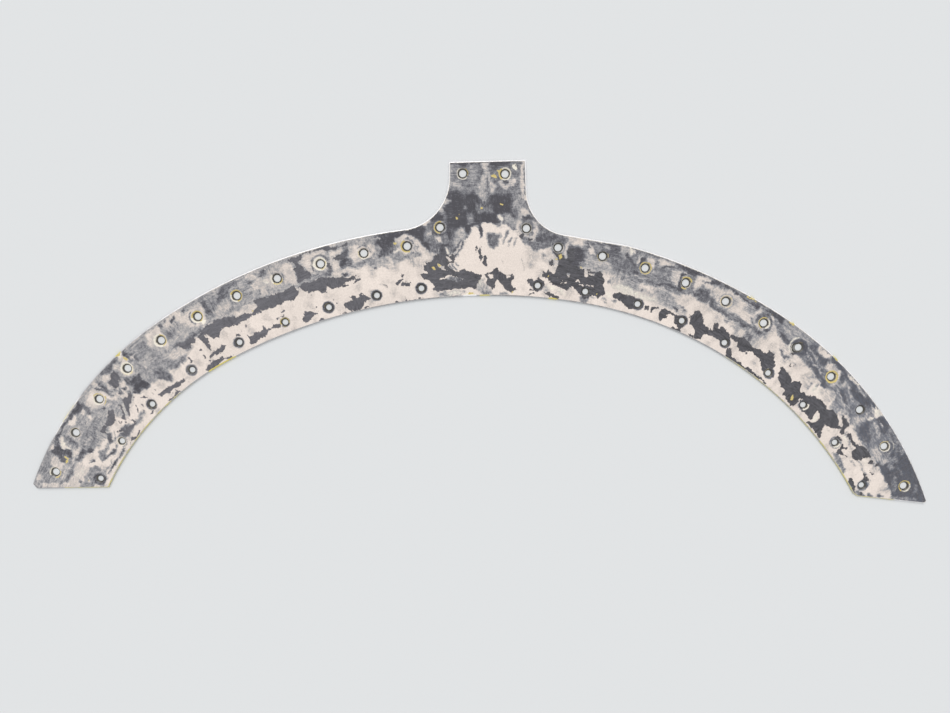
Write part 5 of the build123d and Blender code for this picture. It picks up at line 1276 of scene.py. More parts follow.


# %% [markdown]
# ## Screw seats and handled edges
#
# Turning screws have cut through the paint round each hole. They left thin broken rings
# of cream, white and primer, and no two holes are alike. The white rings are partly a
# painted highlight where a countersink's wall catches the light, and the grey rings laid
# on the cones are painted shade in those hollows. One ring pattern could serve them all,
# but the eye would find it at once. So every hole has its own crescents, laid like the
# patches. The edges are rubbed white where hands and the frame touched them, and the
# outer edge is whitened further as a painted highlight where it faces the light, more on
# the crown than at the feet.

# %% Rims of the screw holes
# Each row: hole, mark, tone, inner and outer radius, bearing and spread in degrees.
# Film rings that lie on a countersink's cone, within its mouth, are painted shade in that
# hollow.
# Holes count outwards from the middle: S stem, N neck, O outer row, I inner row.
HOLES = {}
for number, side in enumerate("LR"):
    HOLES["S" + side] = stem_holes[number]
    HOLES["N" + side] = stem_holes[2 + number]
    for nth, hole in enumerate(outer_holes[number * 11:number * 11 + 11], 1):
        HOLES[f"O{side}{nth}"] = hole
    for nth, hole in enumerate(inner_holes[number * 9:number * 9 + 9], 1):
        HOLES[f"I{side}{nth}"] = hole
RIMS = [
    ("SL", "chalk", 0.81, 2.3, 4, 140, 200), ("SL", "chalk", 0.45, 2.3, 3.7, 0, 360),
    ("SL", "primer", 0.69, 2.6, 3.7, -20, 90), ("SR", "chalk", 0.72, 2.3, 4.1, 0, 360),
    ("SR", "primer", 0.77, 2.7, 4.3, 175, 120), ("NL", "film", 0.5, 2.4, 4.6, 0, 360),
    ("NL", "primer", 0.77, 3.1, 4, 190, 200), ("NL", "chalk", 0.54, 2.3, 2.9, 100, 150),
    ("NL", "film", 0.9, 4.4, 5.2, 0, 360), ("NR", "chalk", 0.45, 2.5, 3.9, 0, 360),
    ("NR", "film", 0.7, 3.4, 4.1, 30, 300), ("NR", "primer", 0.43, 3.8, 4.7, 60, 60),
    ("OL1", "film", 0.75, 2.3, 3.4, 0, 360), ("OL1", "primer", 0.82, 3.1, 4.2, 160, 190),
    ("OL1", "film", 0.8, 4, 4.7, -60, 100), ("OL2", "chalk", 0.63, 2.4, 4, 130, 230),
    ("OL2", "primer", 0.6, 3.1, 3.9, 170, 90), ("OL2", "film", 0.7, 4.4, 5, -60, 140),
    ("OL3", "chalk", 0.9, 2.6, 4.3, 0, 360), ("OL3", "primer", 0.6, 3.2, 4, 45, 120),
    ("OL3", "film", 0.7, 5, 6, -80, 150), ("OL4", "film", 0.8, 2.4, 3.2, 30, 200),
    ("OL4", "chalk", 0.72, 2.8, 4.2, 150, 180), ("OL4", "primer", 0.69, 3.2, 4.1, 80, 130),
    ("OL4", "film", 0.8, 4, 4.7, 10, 80), ("OL5", "chalk", 0.81, 2.5, 4, 180, 240),
    ("OL5", "primer", 0.77, 2.9, 4, -20, 250), ("OL5", "film", 0.6, 4.6, 5.4, 0, 360),
    ("OL6", "chalk", 0.81, 2.5, 4.2, 140, 200), ("OL6", "primer", 0.77, 2.9, 4, -40, 260),
    ("OL6", "chalk", 0.9, 4.2, 6.4, 70, 34), ("OL6", "film", 0.7, 4.6, 5.4, 190, 120),
    ("OL7", "chalk", 0.81, 2.5, 4.4, 190, 170), ("OL7", "chalk", 0.81, 2.5, 4.2, 0, 360),
    ("OL7", "primer", 0.69, 3.1, 4.2, 20, 170), ("OL8", "chalk", 0.85, 2.5, 4.3, 0, 360),
    ("OL8", "primer", 0.52, 3.6, 4.5, 100, 170), ("OL9", "chalk", 0.81, 2.4, 3.8, 0, 360),
    ("OL9", "primer", 0.69, 3.4, 4.2, -40, 120), ("OL9", "primer", 0.7, 4.4, 5.3, 60, 80),
    ("OL10", "chalk", 0.45, 2.5, 3.9, 0, 360), ("OL10", "primer", 0.52, 2.8, 3.7, 20, 220),
    ("OL11", "chalk", 0.72, 2.7, 3.9, 0, 300), ("OL11", "primer", 0.69, 3.2, 4.2, 130, 60),
    ("OL11", "primer", 0.69, 3.2, 4.4, 70, 50), ("OL11", "film", 0.4, 2.3, 2.9, 0, 360),
    ("OR1", "film", 0.9, 2.4, 3.2, 0, 360), ("OR1", "chalk", 0.54, 3.1, 3.6, 0, 360),
    ("OR1", "film", 0.8, 3.9, 4.5, 0, 360), ("OR1", "primer", 0.43, 4.1, 4.7, 20, 140),
    ("OR2", "film", 0.7, 2.4, 3.3, 200, 200), ("OR2", "primer", 0.52, 3.2, 3.9, 70, 240),
    ("OR2", "chalk", 0.54, 2.6, 3.4, -60, 100), ("OR3", "chalk", 0.81, 2.4, 3.3, 0, 360),
    ("OR3", "primer", 0.77, 3.3, 4.1, 0, 360), ("OR3", "film", 0.7, 4.5, 5.2, 90, 200),
    ("OR4", "chalk", 0.81, 2.4, 3.4, 60, 260), ("OR4", "primer", 0.77, 3.2, 4.2, -90, 130),
    ("OR4", "primer", 0.69, 3.4, 4.4, 90, 60), ("OR4", "film", 0.7, 4.2, 4.8, 10, 120),
    ("OR5", "film", 0.9, 2.4, 3.2, 0, 360), ("OR5", "chalk", 0.54, 3.1, 3.6, 90, 260),
    ("OR5", "primer", 0.65, 3.4, 4.1, 0, 360), ("OR5", "film", 0.6, 4.6, 5.2, 0, 360),
    ("OR6", "primer", 0.69, 2.9, 4.1, 180, 190), ("OR6", "chalk", 0.72, 2.6, 4, -10, 120),
    ("OR6", "film", 0.8, 4.5, 5.3, -90, 220), ("OR6", "film", 0.9, 2.4, 3, 90, 200),
    ("OR7", "film", 0.95, 2.2, 5.8, 180, 360), ("OR7", "primer", 0.43, 3.1, 4, 210, 150),
    ("OR7", "chalk", 0.55, 6, 7.4, 175, 120), ("OR7", "film", 0.1, 5.2, 6.6, 80, 60),
    ("OR8", "primer", 0.86, 2.9, 4.5, 150, 200), ("OR8", "primer", 0.77, 3.1, 4.4, 0, 360),
    ("OR8", "chalk", 0.72, 2.6, 3.7, -30, 160), ("OR9", "film", 0.95, 2.4, 3.4, 0, 360),
    ("OR9", "chalk", 0.3, 3.2, 4, 0, 200), ("OR9", "chalk", 0.3, 3.4, 4.2, 110, 100),
    ("OR9", "primer", 0.34, 3.7, 4.4, 150, 90), ("OR10", "chalk", 0.81, 2.2, 3.7, 0, 360),
    ("OR10", "primer", 0.69, 3.2, 4.1, 190, 110), ("OR10", "film", 0.9, 4.1, 4.8, 0, 300),
    ("OR10", "chalk", 0.5, 5.4, 6.2, -50, 110), ("OR11", "chalk", 0.54, 3.1, 4.2, -20, 220),
    ("OR11", "film", 0.9, 4.8, 5.8, -60, 200), ("OR11", "primer", 0.77, 3.2, 4.2, 160, 220),
    ("OR11", "film", 0.35, 2.4, 3.4, 0, 360), ("IL1", "film", 1, 1.9, 3.7, 0, 360),
    ("IL2", "film", 0.95, 1.9, 3.5, 0, 360), ("IL3", "film", 0.95, 1.9, 3.9, 0, 360),
    ("IL3", "primer", 0.73, 2.2, 2.8, -110, 120), ("IL4", "film", 0.9, 1.9, 3.3, 40, 220),
    ("IL4", "primer", 0.86, 2.2, 3.1, -80, 230), ("IL4", "primer", 0.6, 2.8, 3.3, 70, 140),
    ("IL5", "film", 0.9, 1.9, 3.5, 0, 360), ("IL6", "film", 0.7, 1.9, 4, 0, 360),
    ("IL6", "primer", 0.34, 2.8, 3.6, 0, 360), ("IL7", "film", 0.95, 1.9, 3.6, 0, 360),
    ("IL7", "primer", 0.52, 2.5, 3.2, 60, 200), ("IL8", "chalk", 0.63, 1.9, 3.3, 0, 360),
    ("IL8", "film", 0.8, 3.5, 4.2, 20, 220), ("IL9", "film", 0.85, 1.9, 4.4, 0, 360),
    ("IL9", "primer", 0.43, 2.5, 3.1, 90, 160), ("IR1", "film", 0.95, 1.9, 3.5, 0, 360),
    ("IR2", "film", 1, 1.9, 3.6, 0, 360), ("IR2", "film", 0.6, 2.6, 3, 20, 240),
    ("IR3", "film", 0.9, 1.9, 3.8, 0, 360), ("IR3", "chalk", 0.36, 2.5, 3.1, 0, 360),
    ("IR4", "film", 0.95, 1.9, 3.5, 0, 360), ("IR5", "film", 0.9, 1.9, 3.5, 0, 360),
    ("IR6", "film", 0.9, 1.9, 3.6, 0, 360), ("IR6", "primer", 0.69, 2.3, 3.1, 190, 90),
    ("IR6", "chalk", 0.45, 2.5, 3.1, 90, 160), ("IR7", "film", 0.9, 1.9, 3.6, 180, 240),
    ("IR7", "chalk", 0.81, 2.2, 3.6, 0, 110), ("IR7", "film", 0.8, 2, 2.5, 120, 200),
    ("IR8", "film", 0.5, 1.9, 4.2, 0, 360), ("IR8", "chalk", 0.81, 2.2, 3.5, 10, 100),
    ("IR8", "film", 0.8, 3.7, 4.3, 200, 170), ("IR9", "film", 0.9, 1.9, 3.6, 0, 360),
    ("IR9", "chalk", 0.36, 2.8, 3.5, 60, 160),
]


def rim_marks(mark, feather):
    """The crescents of one mark, ready to be laid."""
    return [(tone, feather, crescent(HOLES[hole], *shape))
            for hole, kind, tone, *shape in RIMS if kind == mark]


print("crescents round the holes:", len(RIMS))


# %% The burnished edge and its painted highlight
# Strength by station: (station, white) and (station, yellow) along each edge. On the
# outer edge the white is rubbed paint and a painted highlight, strongest where it faces
# the light.
OUTER_WHITE_AND_HIGHLIGHT = [(-345, .25), (-334, .3), (-329, .85), (-301, .85), (-296, .4), (-262, .45),
               (-240, .55), (-205, .8), (-120, .95), (-60, 1), (60, 1), (150, 1),
               (235, 1), (262, .85), (300, .8), (345, .6)]
OUTER_YELLOW = [(-322, 0), (-320, .5), (-306, .5), (-304, 0), (-262, 0), (-261, .9),
                (-257, .9), (-256, 0), (182, 0), (184, .45), (187, .45), (189, 0), (216, 0),
                (217, .55), (218.5, .55), (219.5, 0), (254, 0), (255, .55), (257, .55),
                (258, 0)]
INNER_WHITE = [(-350, .35), (-250, .3), (-215, .35), (-100, .3), (-14, .2), (-12, .9),
               (-4, .9), (-2, .2), (60, .2), (190, .3), (350, .4)]
INNER_YELLOW = [(-350, .5), (-250, .45), (-216, .2), (-213, 1), (-193, 1), (-190, .15),
                (-2, .1), (0, .8), (6, .8), (8, .1), (49, .1), (51, .8), (56, .8), (58, .1),
                (185, .1), (192, .45), (350, .5)]
to_edge = np.zeros(len(points))
to_edge[:len(front)] = to_loop(front, outline)[0]
on_outer = strip[:, 1] < 20
to_hole = np.min([np.hypot(*(points[:, :2] - hole).T) for hole in HOLES.values()], axis=0)
# rubbed right at the edge, where the white is also a painted highlight, untouched from
# 1.1 mm in, and not in the screw seats
rubbed = np.where(to_hole < 5, 0, np.clip((1.1 - to_edge) / 0.65, 0, 1))


def along_edge(outer_row, inner_row):
    """Strength at every point near an edge, straight between the listed stations."""
    outside, inside = (np.interp(strip[:, 0], *zip(*steps))
                       for steps in (outer_row, inner_row))
    return np.where(on_outer, outside, inside) * rubbed


print("points on the rubbed edge:", int((rubbed > 0.5).sum()))


# %% The coats on every point
# a thin haze in clouds of about 12 mm lies over the outer half, thinner on the inner
# half, and none where the fan below the crown was scraped clean
OUTER_HALF, FAN_MIDDLE, FAN_REACH, FADE = 28, 4, 22, 8   # millimetres
clouds = wobble(strip, 12.0, 0.13, 5)[:, 0]
outer_share = np.clip((OUTER_HALF - strip[:, 1]) / FADE, 0, 1)
beside_fan = np.clip((np.abs(strip[:, 0] - FAN_MIDDLE) - FAN_REACH) / FADE, 0, 1)
haze = np.clip(0.04 + 0.12 * outer_share + clouds, 0, 0.4) * beside_fan
# on the outer half the slate is smeared out past its chips
smudge = laid([(0.78 * kept, 3.4, flat) for kept, flat in GREY_CHIPS], bent)
smudge *= outer_share * beside_fan
film = np.maximum(np.maximum(laid(GREY_FILM, bent), haze), smudge)
coats = {
    # the grey film coat also carries painted shade: its rings round the holes darken the
    # countersink cones
    "film": laid(rim_marks("film", 0.45), strip, film),
    "slate": laid([(kept, 1.1, flat) for kept, flat in GREY_CHIPS], bent),
    "primer": laid(rim_marks("primer", 0.45), strip,
                   laid([(1.0, 0.6, flat) for flat in PRIMER_SPOTS], bent)),
    "chalk": laid(rim_marks("chalk", 0.45), strip, laid(CHALK_MARKS, bent)),
}
for name, coat in coats.items():
    share = float((coat[:len(front)] > 0.5).mean())
    print(name, "covers", round(100 * share), "% of the face")
# the white along the outer edge is rubbed paint and a painted highlight where it faces the
# light
coats["chalk"] = np.maximum(coats["chalk"], along_edge(OUTER_WHITE_AND_HIGHLIGHT, INNER_WHITE))
coats["primer"] = np.maximum(coats["primer"], along_edge(OUTER_YELLOW, INNER_YELLOW))

# the seats are bored through both coats, so the chips stop at their mouths, bare metal
# shows from 0.2 mm down in them, growing darker with depth as painted shade in the
# hollow, and nothing is laid on the back
height = points[:, 2]
coats["slate"] *= np.clip((to_hole - 2.6) / 0.8, 0, 1)
coats["bare"] = np.clip((SHEET_T - 0.2 - height) / 0.85, 0, 1)
for coat in coats.values():
    coat[height < 0.2] = 0


# %% Coats and station written on the mesh
for name, coat in coats.items():
    mesh.attributes.new(name, "FLOAT", "POINT").data.foreach_set(
        "value", coat.astype(np.float32))
along = np.column_stack([strip * MM, height * MM])
mesh.attributes.new("strip", "FLOAT_VECTOR", "POINT").data.foreach_set(
    "vector", along.astype(np.float32).ravel())
mesh.update()
print("attributes:", sorted(coats) + ["strip"])

# %% [markdown]
# ## Camera, floor and light
#
# The photograph looks almost straight down from half a metre. The camera's place and
# tilt were worked out from the holes, so the picture lines up hole by hole.

# %% Camera
EYE = Vector((-7.475, -53.93, 437.75)) * MM
RIGHT, UP, AHEAD = ((0.99993, 0.01023, 0.00547), (-0.00934, 0.98948, -0.14435),
                    (0.00689, -0.14429, -0.98951))
SENSOR, FOCAL_PIXELS, WIDTH_PIXELS = 36.0, 667.0, 950.0
turn = Matrix((RIGHT, UP, [-v for v in AHEAD])).transposed()
lens = bpy.data.cameras.new("photo_camera")
lens.sensor_width = SENSOR
lens.lens = SENSOR * FOCAL_PIXELS / WIDTH_PIXELS
lens.clip_start, lens.clip_end = 0.01, 20
camera = bpy.data.objects.new("photo_camera", lens)
camera.matrix_world = Matrix.Translation(EYE) @ turn.to_4x4()
bpy.context.scene.collection.objects.link(camera)
bpy.context.scene.camera = camera
print("lens:", round(lens.lens, 2), "mm")


# %% Helpers for colours and nodes
def colour(code):
    """An sRGB hex colour turned to linear: ((c + 0.055) / 1.055) ^ 2.4, or c / 12.92
    where it is dark."""
    srgb = np.array([int(code[i:i + 2], 16) / 255 for i in (0, 2, 4)])
    linear = np.where(srgb > 0.04045, ((srgb + 0.055) / 1.055) ** 2.4, srgb / 12.92)
    return (*linear.tolist(), 1.0)


def node(tree, kind, settings=None, **links):
    """Adds a node. Settings are its properties; links name its inputs, each given a
    value or another node's output. A name like in_1 is the input's number."""
    made = tree.nodes.new("ShaderNode" + kind)
    for name, value in (settings or {}).items():
        setattr(made, name, value)
    for name, value in links.items():
        key = int(name[3:]) if name.startswith("in_") else name.replace("_", " ")
        if isinstance(value, bpy.types.NodeSocket):
            tree.links.new(value, made.inputs[key])
        else:
            made.inputs[key].default_value = value
    return made


def new_material(name):
    """An empty node material and its tree."""
    made = bpy.data.materials.new(name)
    made.use_nodes = True
    made.node_tree.nodes.clear()
    return made, made.node_tree


# %% Floor
REACH = 60.0    # metres, so that its far edge meets the sky
floor_mesh = bpy.data.meshes.new("floor")
floor_mesh.from_pydata([(-REACH, -REACH, 0), (REACH, -REACH, 0), (REACH, REACH, 0),
                        (-REACH, REACH, 0)], [], [(0, 1, 2, 3)])
floor = bpy.data.objects.new("floor", floor_mesh)
floor.location.z = -0.05 * MM
bpy.context.scene.collection.objects.link(floor)
# matt paper, so the eye gets a plain ground with soft shadows and no shine
paper, tree = new_material("pale_paper")
grey = node(tree, "BsdfDiffuse", Color=colour("dcdddc"), Roughness=0.0)
node(tree, "OutputMaterial", Surface=grey.outputs[0])
floor_mesh.materials.append(paper)
print("floor is", 2 * REACH, "metres wide")

# %% Sky and lamps
# The room light is plain and even. Seen directly or in a reflection, the sky has the
# tone of the lit floor, so the horizon is quiet.
world = bpy.data.worlds.new("soft_room")
bpy.context.scene.world = world
world.use_nodes = True
tree = world.node_tree
tree.nodes.clear()
room = node(tree, "Background", Color=colour("f4f6fa"), Strength=0.72)
seen = node(tree, "Background", Color=colour("e0e2e1"), Strength=1.0)
ray = node(tree, "LightPath")
direct = node(tree, "Math", {"operation": "MAXIMUM"}, in_0=ray.outputs["Is Camera Ray"],
              in_1=ray.outputs["Is Glossy Ray"])
direct = node(tree, "Math", {"operation": "MAXIMUM"}, in_0=direct.outputs[0],
              in_1=ray.outputs["Is Transmission Ray"])
sky = node(tree, "MixShader", Fac=direct.outputs[0], in_1=room.outputs[0],
           in_2=seen.outputs[0])
node(tree, "OutputWorld", Surface=sky.outputs[0])

# two broad suns, so the floor is as bright far off as near: the window stands beyond
# the strip's crown, where it makes the outer edge shine
for name, spot, strength in (("window", (-0.35, 1.25, 1.35), 1.35),
                             ("fill", (0.9, -1.2, 1.6), 0.42)):
    lamp = bpy.data.lights.new(name, "SUN")
    lamp.energy, lamp.angle = strength, math.radians(40)
    holder = bpy.data.objects.new(name, lamp)
    holder.location = spot
    holder.rotation_mode = "QUATERNION"
    holder.rotation_quaternion = (-Vector(spot)).to_track_quat("-Z", "Y")
    bpy.context.scene.collection.objects.link(holder)

bpy.context.scene.view_settings.view_transform = "Standard"
print("lamps:", [light.name for light in bpy.data.lights])

# %% [markdown]
# ## Cream and grey paint, brushed and worn
#
# The face is sprayed cream, with a slate grey coat over it that has mostly come away.
# Where it was rubbed, a thin grey film stays, dragged along the strip. Primer shows
# yellow-green where both coats are gone, and bare metal shows in the screw seats,
# darkened deeper down as painted shade, with grey rings of painted shade on their cones.
# A picture would hold one view only, so the coats come from the points and the
# materials add what is finer than a millimetre: streaks, torn rims and specks.

# %% Paint: patterns
# sprayed lacquer in two coats: satin where whole, matt and cloudy where rubbed thin
paint, tree = new_material("worn_cream_and_slate_lacquer")
here = node(tree, "Attribute", {"attribute_name": "strip"}).outputs["Vector"]
laid_on = {name: node(tree, "Attribute", {"attribute_name": name}).outputs["Fac"]
           for name in coats}

# streaks 7 mm long and 1.3 mm wide, dragged along the strip by a cloth, and in places
# across it: the two directions change over every 30 mm
along_it, across_it = (
    node(tree, "TexNoise", Scale=1.0, Detail=6.0, Roughness=0.72, Distortion=1.4,
         Vector=node(tree, "VectorMath", {"operation": "MULTIPLY"}, in_0=here,
                     in_1=stretch).outputs[0]).outputs["Fac"]
    for stretch in ((140, 760, 760), (600, 200, 200)))
turns = node(tree, "TexNoise", Vector=here, Scale=34.0, Detail=1.0).outputs["Fac"]
crossing = node(tree, "MapRange", Value=turns, From_Min=0.5, From_Max=0.6).outputs[0]
streaks = node(tree, "Mix", in_0=crossing, in_2=along_it, in_3=across_it).outputs[0]
# torn rims of chips, about 2 mm from tooth to tooth, with finer teeth on them
ragged = node(tree, "TexNoise", Vector=here, Scale=480.0, Detail=6.0, Roughness=0.72,
              Distortion=0.5).outputs["Fac"]
# cloudy uneven thickness, 5 mm across
cloud = node(tree, "TexNoise", Vector=here, Scale=190.0, Detail=5.0, Roughness=0.65,
             Distortion=1.0).outputs["Fac"]
# scribbles: the thin contour lines of a noise, 0.4 mm wide, left by grit in the cloth
scribble = node(tree, "TexNoise", Vector=here, Scale=230.0, Detail=3.0, Roughness=0.5,
                Distortion=2.6).outputs["Fac"]
scribble = node(tree, "Math", {"operation": "SUBTRACT"}, in_0=scribble, in_1=0.5)
scribble = node(tree, "Math", {"operation": "ABSOLUTE"}, in_0=scribble.outputs[0])
scribble = node(tree, "MapRange", Value=scribble.outputs[0], From_Max=0.03, To_Min=0.7,
                To_Max=0.5).outputs[0]
# grit and orange peel, 0.6 mm, drawn as coarse as the picture can show
grit = node(tree, "TexNoise", Vector=here, Scale=1500.0, Detail=2.0,
            Roughness=0.7).outputs["Fac"]
print("patterns and coats:", len(tree.nodes), "nodes")


# %% Paint: where each coat ends
def shaped(tree, pattern, low, high, bottom=0.0, top=1.0):
    """Smooth step of a pattern, from bottom at low to top at high."""
    return node(tree, "MapRange", {"interpolation_type": "SMOOTHSTEP"}, Value=pattern,
                From_Min=low, From_Max=high, To_Min=bottom, To_Max=top).outputs[0]


def torn(tree, coat, tooth, share, soft):
    """A coat's rim torn by noise: smooth step of coat + share (noise - 0.5)."""
    lifted = node(tree, "Math", {"operation": "SUBTRACT"}, in_0=tooth, in_1=0.5)
    total = node(tree, "Math", {"operation": "MULTIPLY_ADD"}, in_0=lifted.outputs[0],
                 in_1=share, in_2=coat)
    return shaped(tree, total.outputs[0], 0.5 - soft, 0.5 + soft)


# the four patterns make the film uneven, less so where there is next to none of it
spread = shaped(tree, laid_on["film"], 0.0, 0.35, 0.14, 1.0)
uneven = 0.0
for pattern, share in ((streaks, 1.3), (cloud, 0.35), (ragged, 1.0), (scribble, 0.8)):
    lifted = node(tree, "Math", {"operation": "SUBTRACT"}, in_0=pattern, in_1=0.5)
    uneven = node(tree, "Math", {"operation": "MULTIPLY_ADD"}, in_0=lifted.outputs[0],
                  in_1=share, in_2=uneven).outputs[0]
film_smear_and_shade = node(tree, "Math", {"operation": "MULTIPLY_ADD"}, in_0=uneven, in_1=spread,
             in_2=laid_on["film"]).outputs[0]
slate_shows = torn(tree, laid_on["slate"], ragged, 2.0, 0.08)
chalk_and_highlight_shows = torn(tree, laid_on["chalk"], ragged, 1.2, 0.25)
primer_shows = torn(tree, laid_on["primer"], ragged, 1.3, 0.18)
bare_shows = torn(tree, laid_on["bare"], ragged, 1.6, 0.2)

print("with the rims:", len(tree.nodes), "nodes")

# %% Paint: colours from the bottom coat up
# the film, which also rings the seats with painted shade, runs from clean cream to dark
# grey; then come chips, chalk with its painted highlight, primer, and metal darkened as
# painted shade
ramp = node(tree, "ValToRGB", Fac=film_smear_and_shade)
stops = ramp.color_ramp.elements
stops[0].position, stops[0].color = 0.05, colour("e6d9ce")
stops[1].position, stops[1].color = 1.0, colour("434147")
for at, code in ((0.2, "cdc2b9"), (0.38, "aeaaa8"), (0.58, "868588"), (0.8, "5d5c62")):
    stops.new(at).color = colour(code)
# the wiped film has a blue cast near the right foot
station = node(tree, "SeparateXYZ", Vector=here).outputs[0]
cast = node(tree, "Math", {"operation": "MULTIPLY"},
            in_0=shaped(tree, station, 0.19, 0.26, 0.0, 0.5),
            in_1=shaped(tree, streaks, 0.44, 0.6))
base = node(tree, "Mix", {"data_type": "RGBA"}, in_6=ramp.outputs["Color"],
            in_0=shaped(tree, film_smear_and_shade, 0.15, 0.45, 0.0, cast.outputs[0]),
            in_7=colour("5e6573")).outputs[2]
# the slate is thinner and paler on the left arm
aside = node(tree, "MapRange", Value=station, From_Min=-0.16, From_Max=0.06, To_Min=0.42,
             To_Max=0.0).outputs[0]
wiped = node(tree, "MapRange", Value=streaks, From_Min=0.36, From_Max=0.66).outputs[0]
aside = node(tree, "Math", {"operation": "MULTIPLY_ADD"}, in_0=wiped, in_1=0.75, in_2=aside)
slate_tone = node(tree, "Mix", {"data_type": "RGBA"}, in_0=aside.outputs[0],
                  in_6=colour("2e2d31"), in_7=colour("6c6a6f"))
# metal deep in the seats is kept dark as painted shade in the countersink, with cloudy
# stains
metal_and_shade_tone = node(tree, "Mix", {"data_type": "RGBA"}, in_0=cloud, in_6=colour("3c3a37"),
                  in_7=colour("7d7a75"))
primer_tone = node(tree, "Mix", {"data_type": "RGBA"}, in_0=cloud, in_6=colour("b09d58"),
                   in_7=colour("ecd68c"))
# the chalk white is partly a painted highlight, on the outer edge and on the lit walls of
# the seats
for shows, over in ((slate_shows, slate_tone.outputs[2]), (chalk_and_highlight_shows, colour("efe7d6")),
                    (primer_shows, primer_tone.outputs[2]),
                    (bare_shows, metal_and_shade_tone.outputs[2])):
    base = node(tree, "Mix", {"data_type": "RGBA"}, in_0=shows, in_6=base,
                in_7=over).outputs[2]
# grit darkens in specks, and whole regions drift a little in tone
for pattern, low, high in ((grit, 0.84, 1.12), (turns, 1.05, 0.93)):
    tone = node(tree, "MapRange", Value=pattern, From_Min=0.25, From_Max=0.75, To_Min=low,
                To_Max=high)
    base = node(tree, "VectorMath", {"operation": "SCALE"}, in_0=base,
                Scale=tone.outputs[0]).outputs[0]
print("with the colours:", len(tree.nodes), "nodes")

# %% Paint: gloss, relief and the finished shader
# the grey coat is a little glossier than the dry cream one, and stands proud of it
gloss = node(tree, "MapRange", Value=film_smear_and_shade, To_Min=0.62, To_Max=0.46)
coat_edge = node(tree, "Math", {"operation": "ADD"}, in_0=slate_shows, in_1=grit)
relief = node(tree, "Bump", Strength=0.35, Distance=0.12 * MM, Height=coat_edge.outputs[0])
shader = node(tree, "BsdfPrincipled", Base_Color=base, Roughness=gloss.outputs[0],
              Metallic=bare_shows, Normal=relief.outputs[0])
node(tree, "OutputMaterial", Surface=shader.outputs[0])
mesh.materials.append(paint)
print("the paint:", len(tree.nodes), "nodes")

# %% [markdown]
# ## Bare metal: the filed edge and the bores
#
# The edge was filed after the sheet was cut, so its marks run across it, and paint
# stayed only in places. The bores are drilled and stained, and their tone is kept dark as
# painted shade inside the holes. Both are the same light metal, so both could share one
# material. But the eye sees the edge as a bright broken line, and a bore as a dark one,
# so each has its own.

# %% Edge: filed aluminium, whitened by handling and by a painted highlight
# bright scratched metal, which turns to dull paint rests and to white spots, rubbed by
# handling and partly a painted highlight
edge, tree = new_material("filed_aluminium_with_paint_rests")
here = node(tree, "Attribute", {"attribute_name": "strip"}).outputs["Vector"]
white_and_highlight = node(tree, "Attribute", {"attribute_name": "chalk"}).outputs["Fac"]
green = node(tree, "Attribute", {"attribute_name": "primer"}).outputs["Fac"]
# file marks run across the edge, 0.5 mm apart; paint rests lie in 3 mm patches
rests = node(tree, "TexNoise", Vector=here, Scale=300.0, Detail=5.0,
             Roughness=0.65).outputs["Fac"]
file_marks = node(tree, "VectorMath", {"operation": "MULTIPLY"}, in_0=here,
                  in_1=(1900, 120, 120))
file_marks = node(tree, "TexNoise", Vector=file_marks.outputs[0], Scale=1.0,
                  Detail=2.0).outputs["Fac"]
metal = node(tree, "Mix", {"data_type": "RGBA"}, in_0=file_marks, in_6=colour("8f8e8f"),
             in_7=colour("d4d3d5"))
painted = shaped(tree, rests, 0.47, 0.56)
base = node(tree, "Mix", {"data_type": "RGBA"}, in_0=painted, in_6=metal.outputs[2],
            in_7=colour("8a8584"))
base = node(tree, "Mix", {"data_type": "RGBA"}, in_0=torn(tree, white_and_highlight, rests, 1.0, 0.3),
            in_6=base.outputs[2], in_7=colour("f6f3f5"))
base = node(tree, "Mix", {"data_type": "RGBA"}, in_0=torn(tree, green, rests, 1.0, 0.25),
            in_6=base.outputs[2], in_7=colour("dccf6a"))
shine = node(tree, "Math", {"operation": "MULTIPLY_ADD"}, in_0=painted, in_1=-0.7, in_2=0.7)
relief = node(tree, "Bump", Strength=0.4, Distance=0.06 * MM, Height=file_marks)
shader = node(tree, "BsdfPrincipled", Base_Color=base.outputs[2], Metallic=shine.outputs[0],
              Roughness=0.42, Normal=relief.outputs[0])
node(tree, "OutputMaterial", Surface=shader.outputs[0])
mesh.materials.append(edge)
print("the edge:", len(tree.nodes), "nodes")

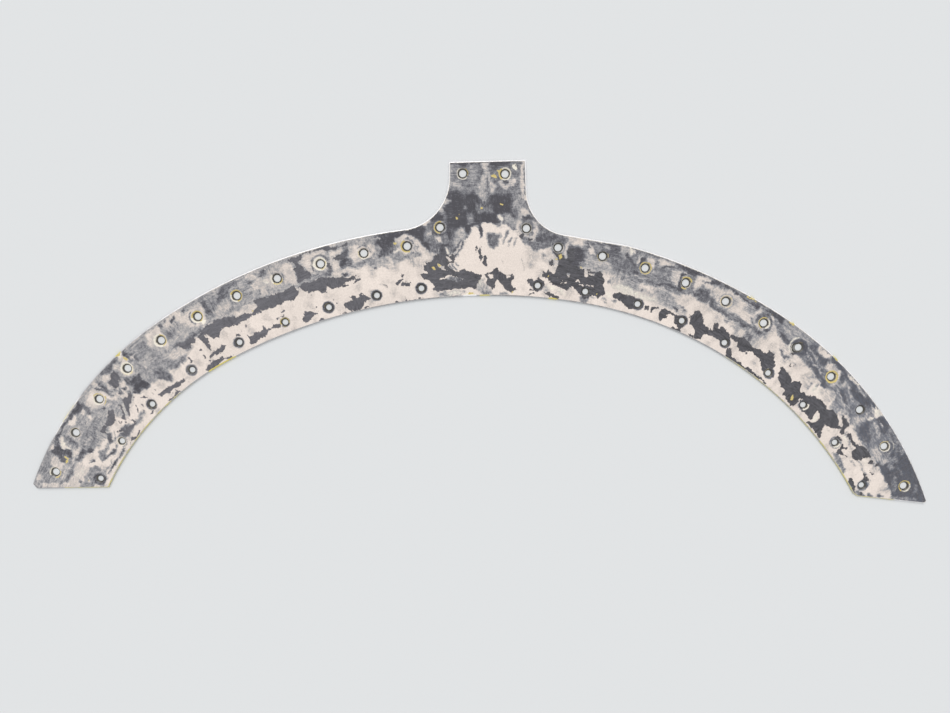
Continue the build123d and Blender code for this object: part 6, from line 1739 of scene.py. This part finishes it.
# %% Bore: drilled aluminium, darkened as painted shade
# stained metal in 1.5 mm spots, half shiny, its dark tone painted shade inside the hole,
# so a bore looks dark, though it carries no lacquer
bore_metal_with_painted_shade, tree = new_material("drilled_aluminium_with_painted_shade")
here = node(tree, "Attribute", {"attribute_name": "strip"}).outputs["Vector"]
stain = node(tree, "TexNoise", Vector=here, Scale=700.0, Detail=4.0,
             Roughness=0.6).outputs["Fac"]
tone = node(tree, "Mix", {"data_type": "RGBA"}, in_0=stain, in_6=colour("4c4a48"),
            in_7=colour("a2a09c"))
shader = node(tree, "BsdfPrincipled", Base_Color=tone.outputs[2], Metallic=0.8,
              Roughness=0.45)
node(tree, "OutputMaterial", Surface=shader.outputs[0])
mesh.materials.append(bore_metal_with_painted_shade)
print("the bores:", len(tree.nodes), "nodes")

# %% [markdown]
# ## The hidden back
#
# The back never shows, so it is a guess: the primer that the front's chips lay bare,
# scuffed by the frame under it. It could be painted like the front, but a painter
# seldom sprays a hidden face twice.

# %% Back: chromate primer, rubbed grey
# dry yellow-green primer, matt, with grey clouds where it was rubbed
back_coat, tree = new_material("rubbed_chromate_primer")
here = node(tree, "TexCoord").outputs["Object"]
# scuffs 30 mm long, wear clouds 25 mm across and grit of 0.6 mm
scuff = node(tree, "VectorMath", {"operation": "MULTIPLY"}, in_0=here, in_1=(60, 420, 420))
scuff = node(tree, "TexNoise", Vector=scuff.outputs[0], Scale=1.0, Detail=5.0,
             Roughness=0.65, Distortion=1.0).outputs["Fac"]
cloud = node(tree, "TexNoise", Vector=here, Scale=45.0, Detail=6.0, Roughness=0.65,
             Distortion=0.6).outputs["Fac"]
grit = node(tree, "TexNoise", Vector=here, Scale=1500.0, Detail=2.0,
            Roughness=0.7).outputs["Fac"]
green = node(tree, "Mix", {"data_type": "RGBA"}, in_0=scuff, in_6=colour("7f7b52"),
             in_7=colour("aaa36e"))
rubbed = torn(tree, cloud, scuff, 0.7, 0.12)
base = node(tree, "Mix", {"data_type": "RGBA"}, in_0=rubbed, in_6=green.outputs[2],
            in_7=colour("9d9c94"))
rough = shaped(tree, grit, 0.2, 0.8, 0.45, 0.7)
relief = node(tree, "Bump", Strength=0.3, Distance=0.1 * MM, Height=grit)
shader = node(tree, "BsdfPrincipled", Base_Color=base.outputs[2], Roughness=rough,
              Normal=relief.outputs[0])
node(tree, "OutputMaterial", Surface=shader.outputs[0])
mesh.materials.append(back_coat)
print("materials:", [m.name for m in mesh.materials])
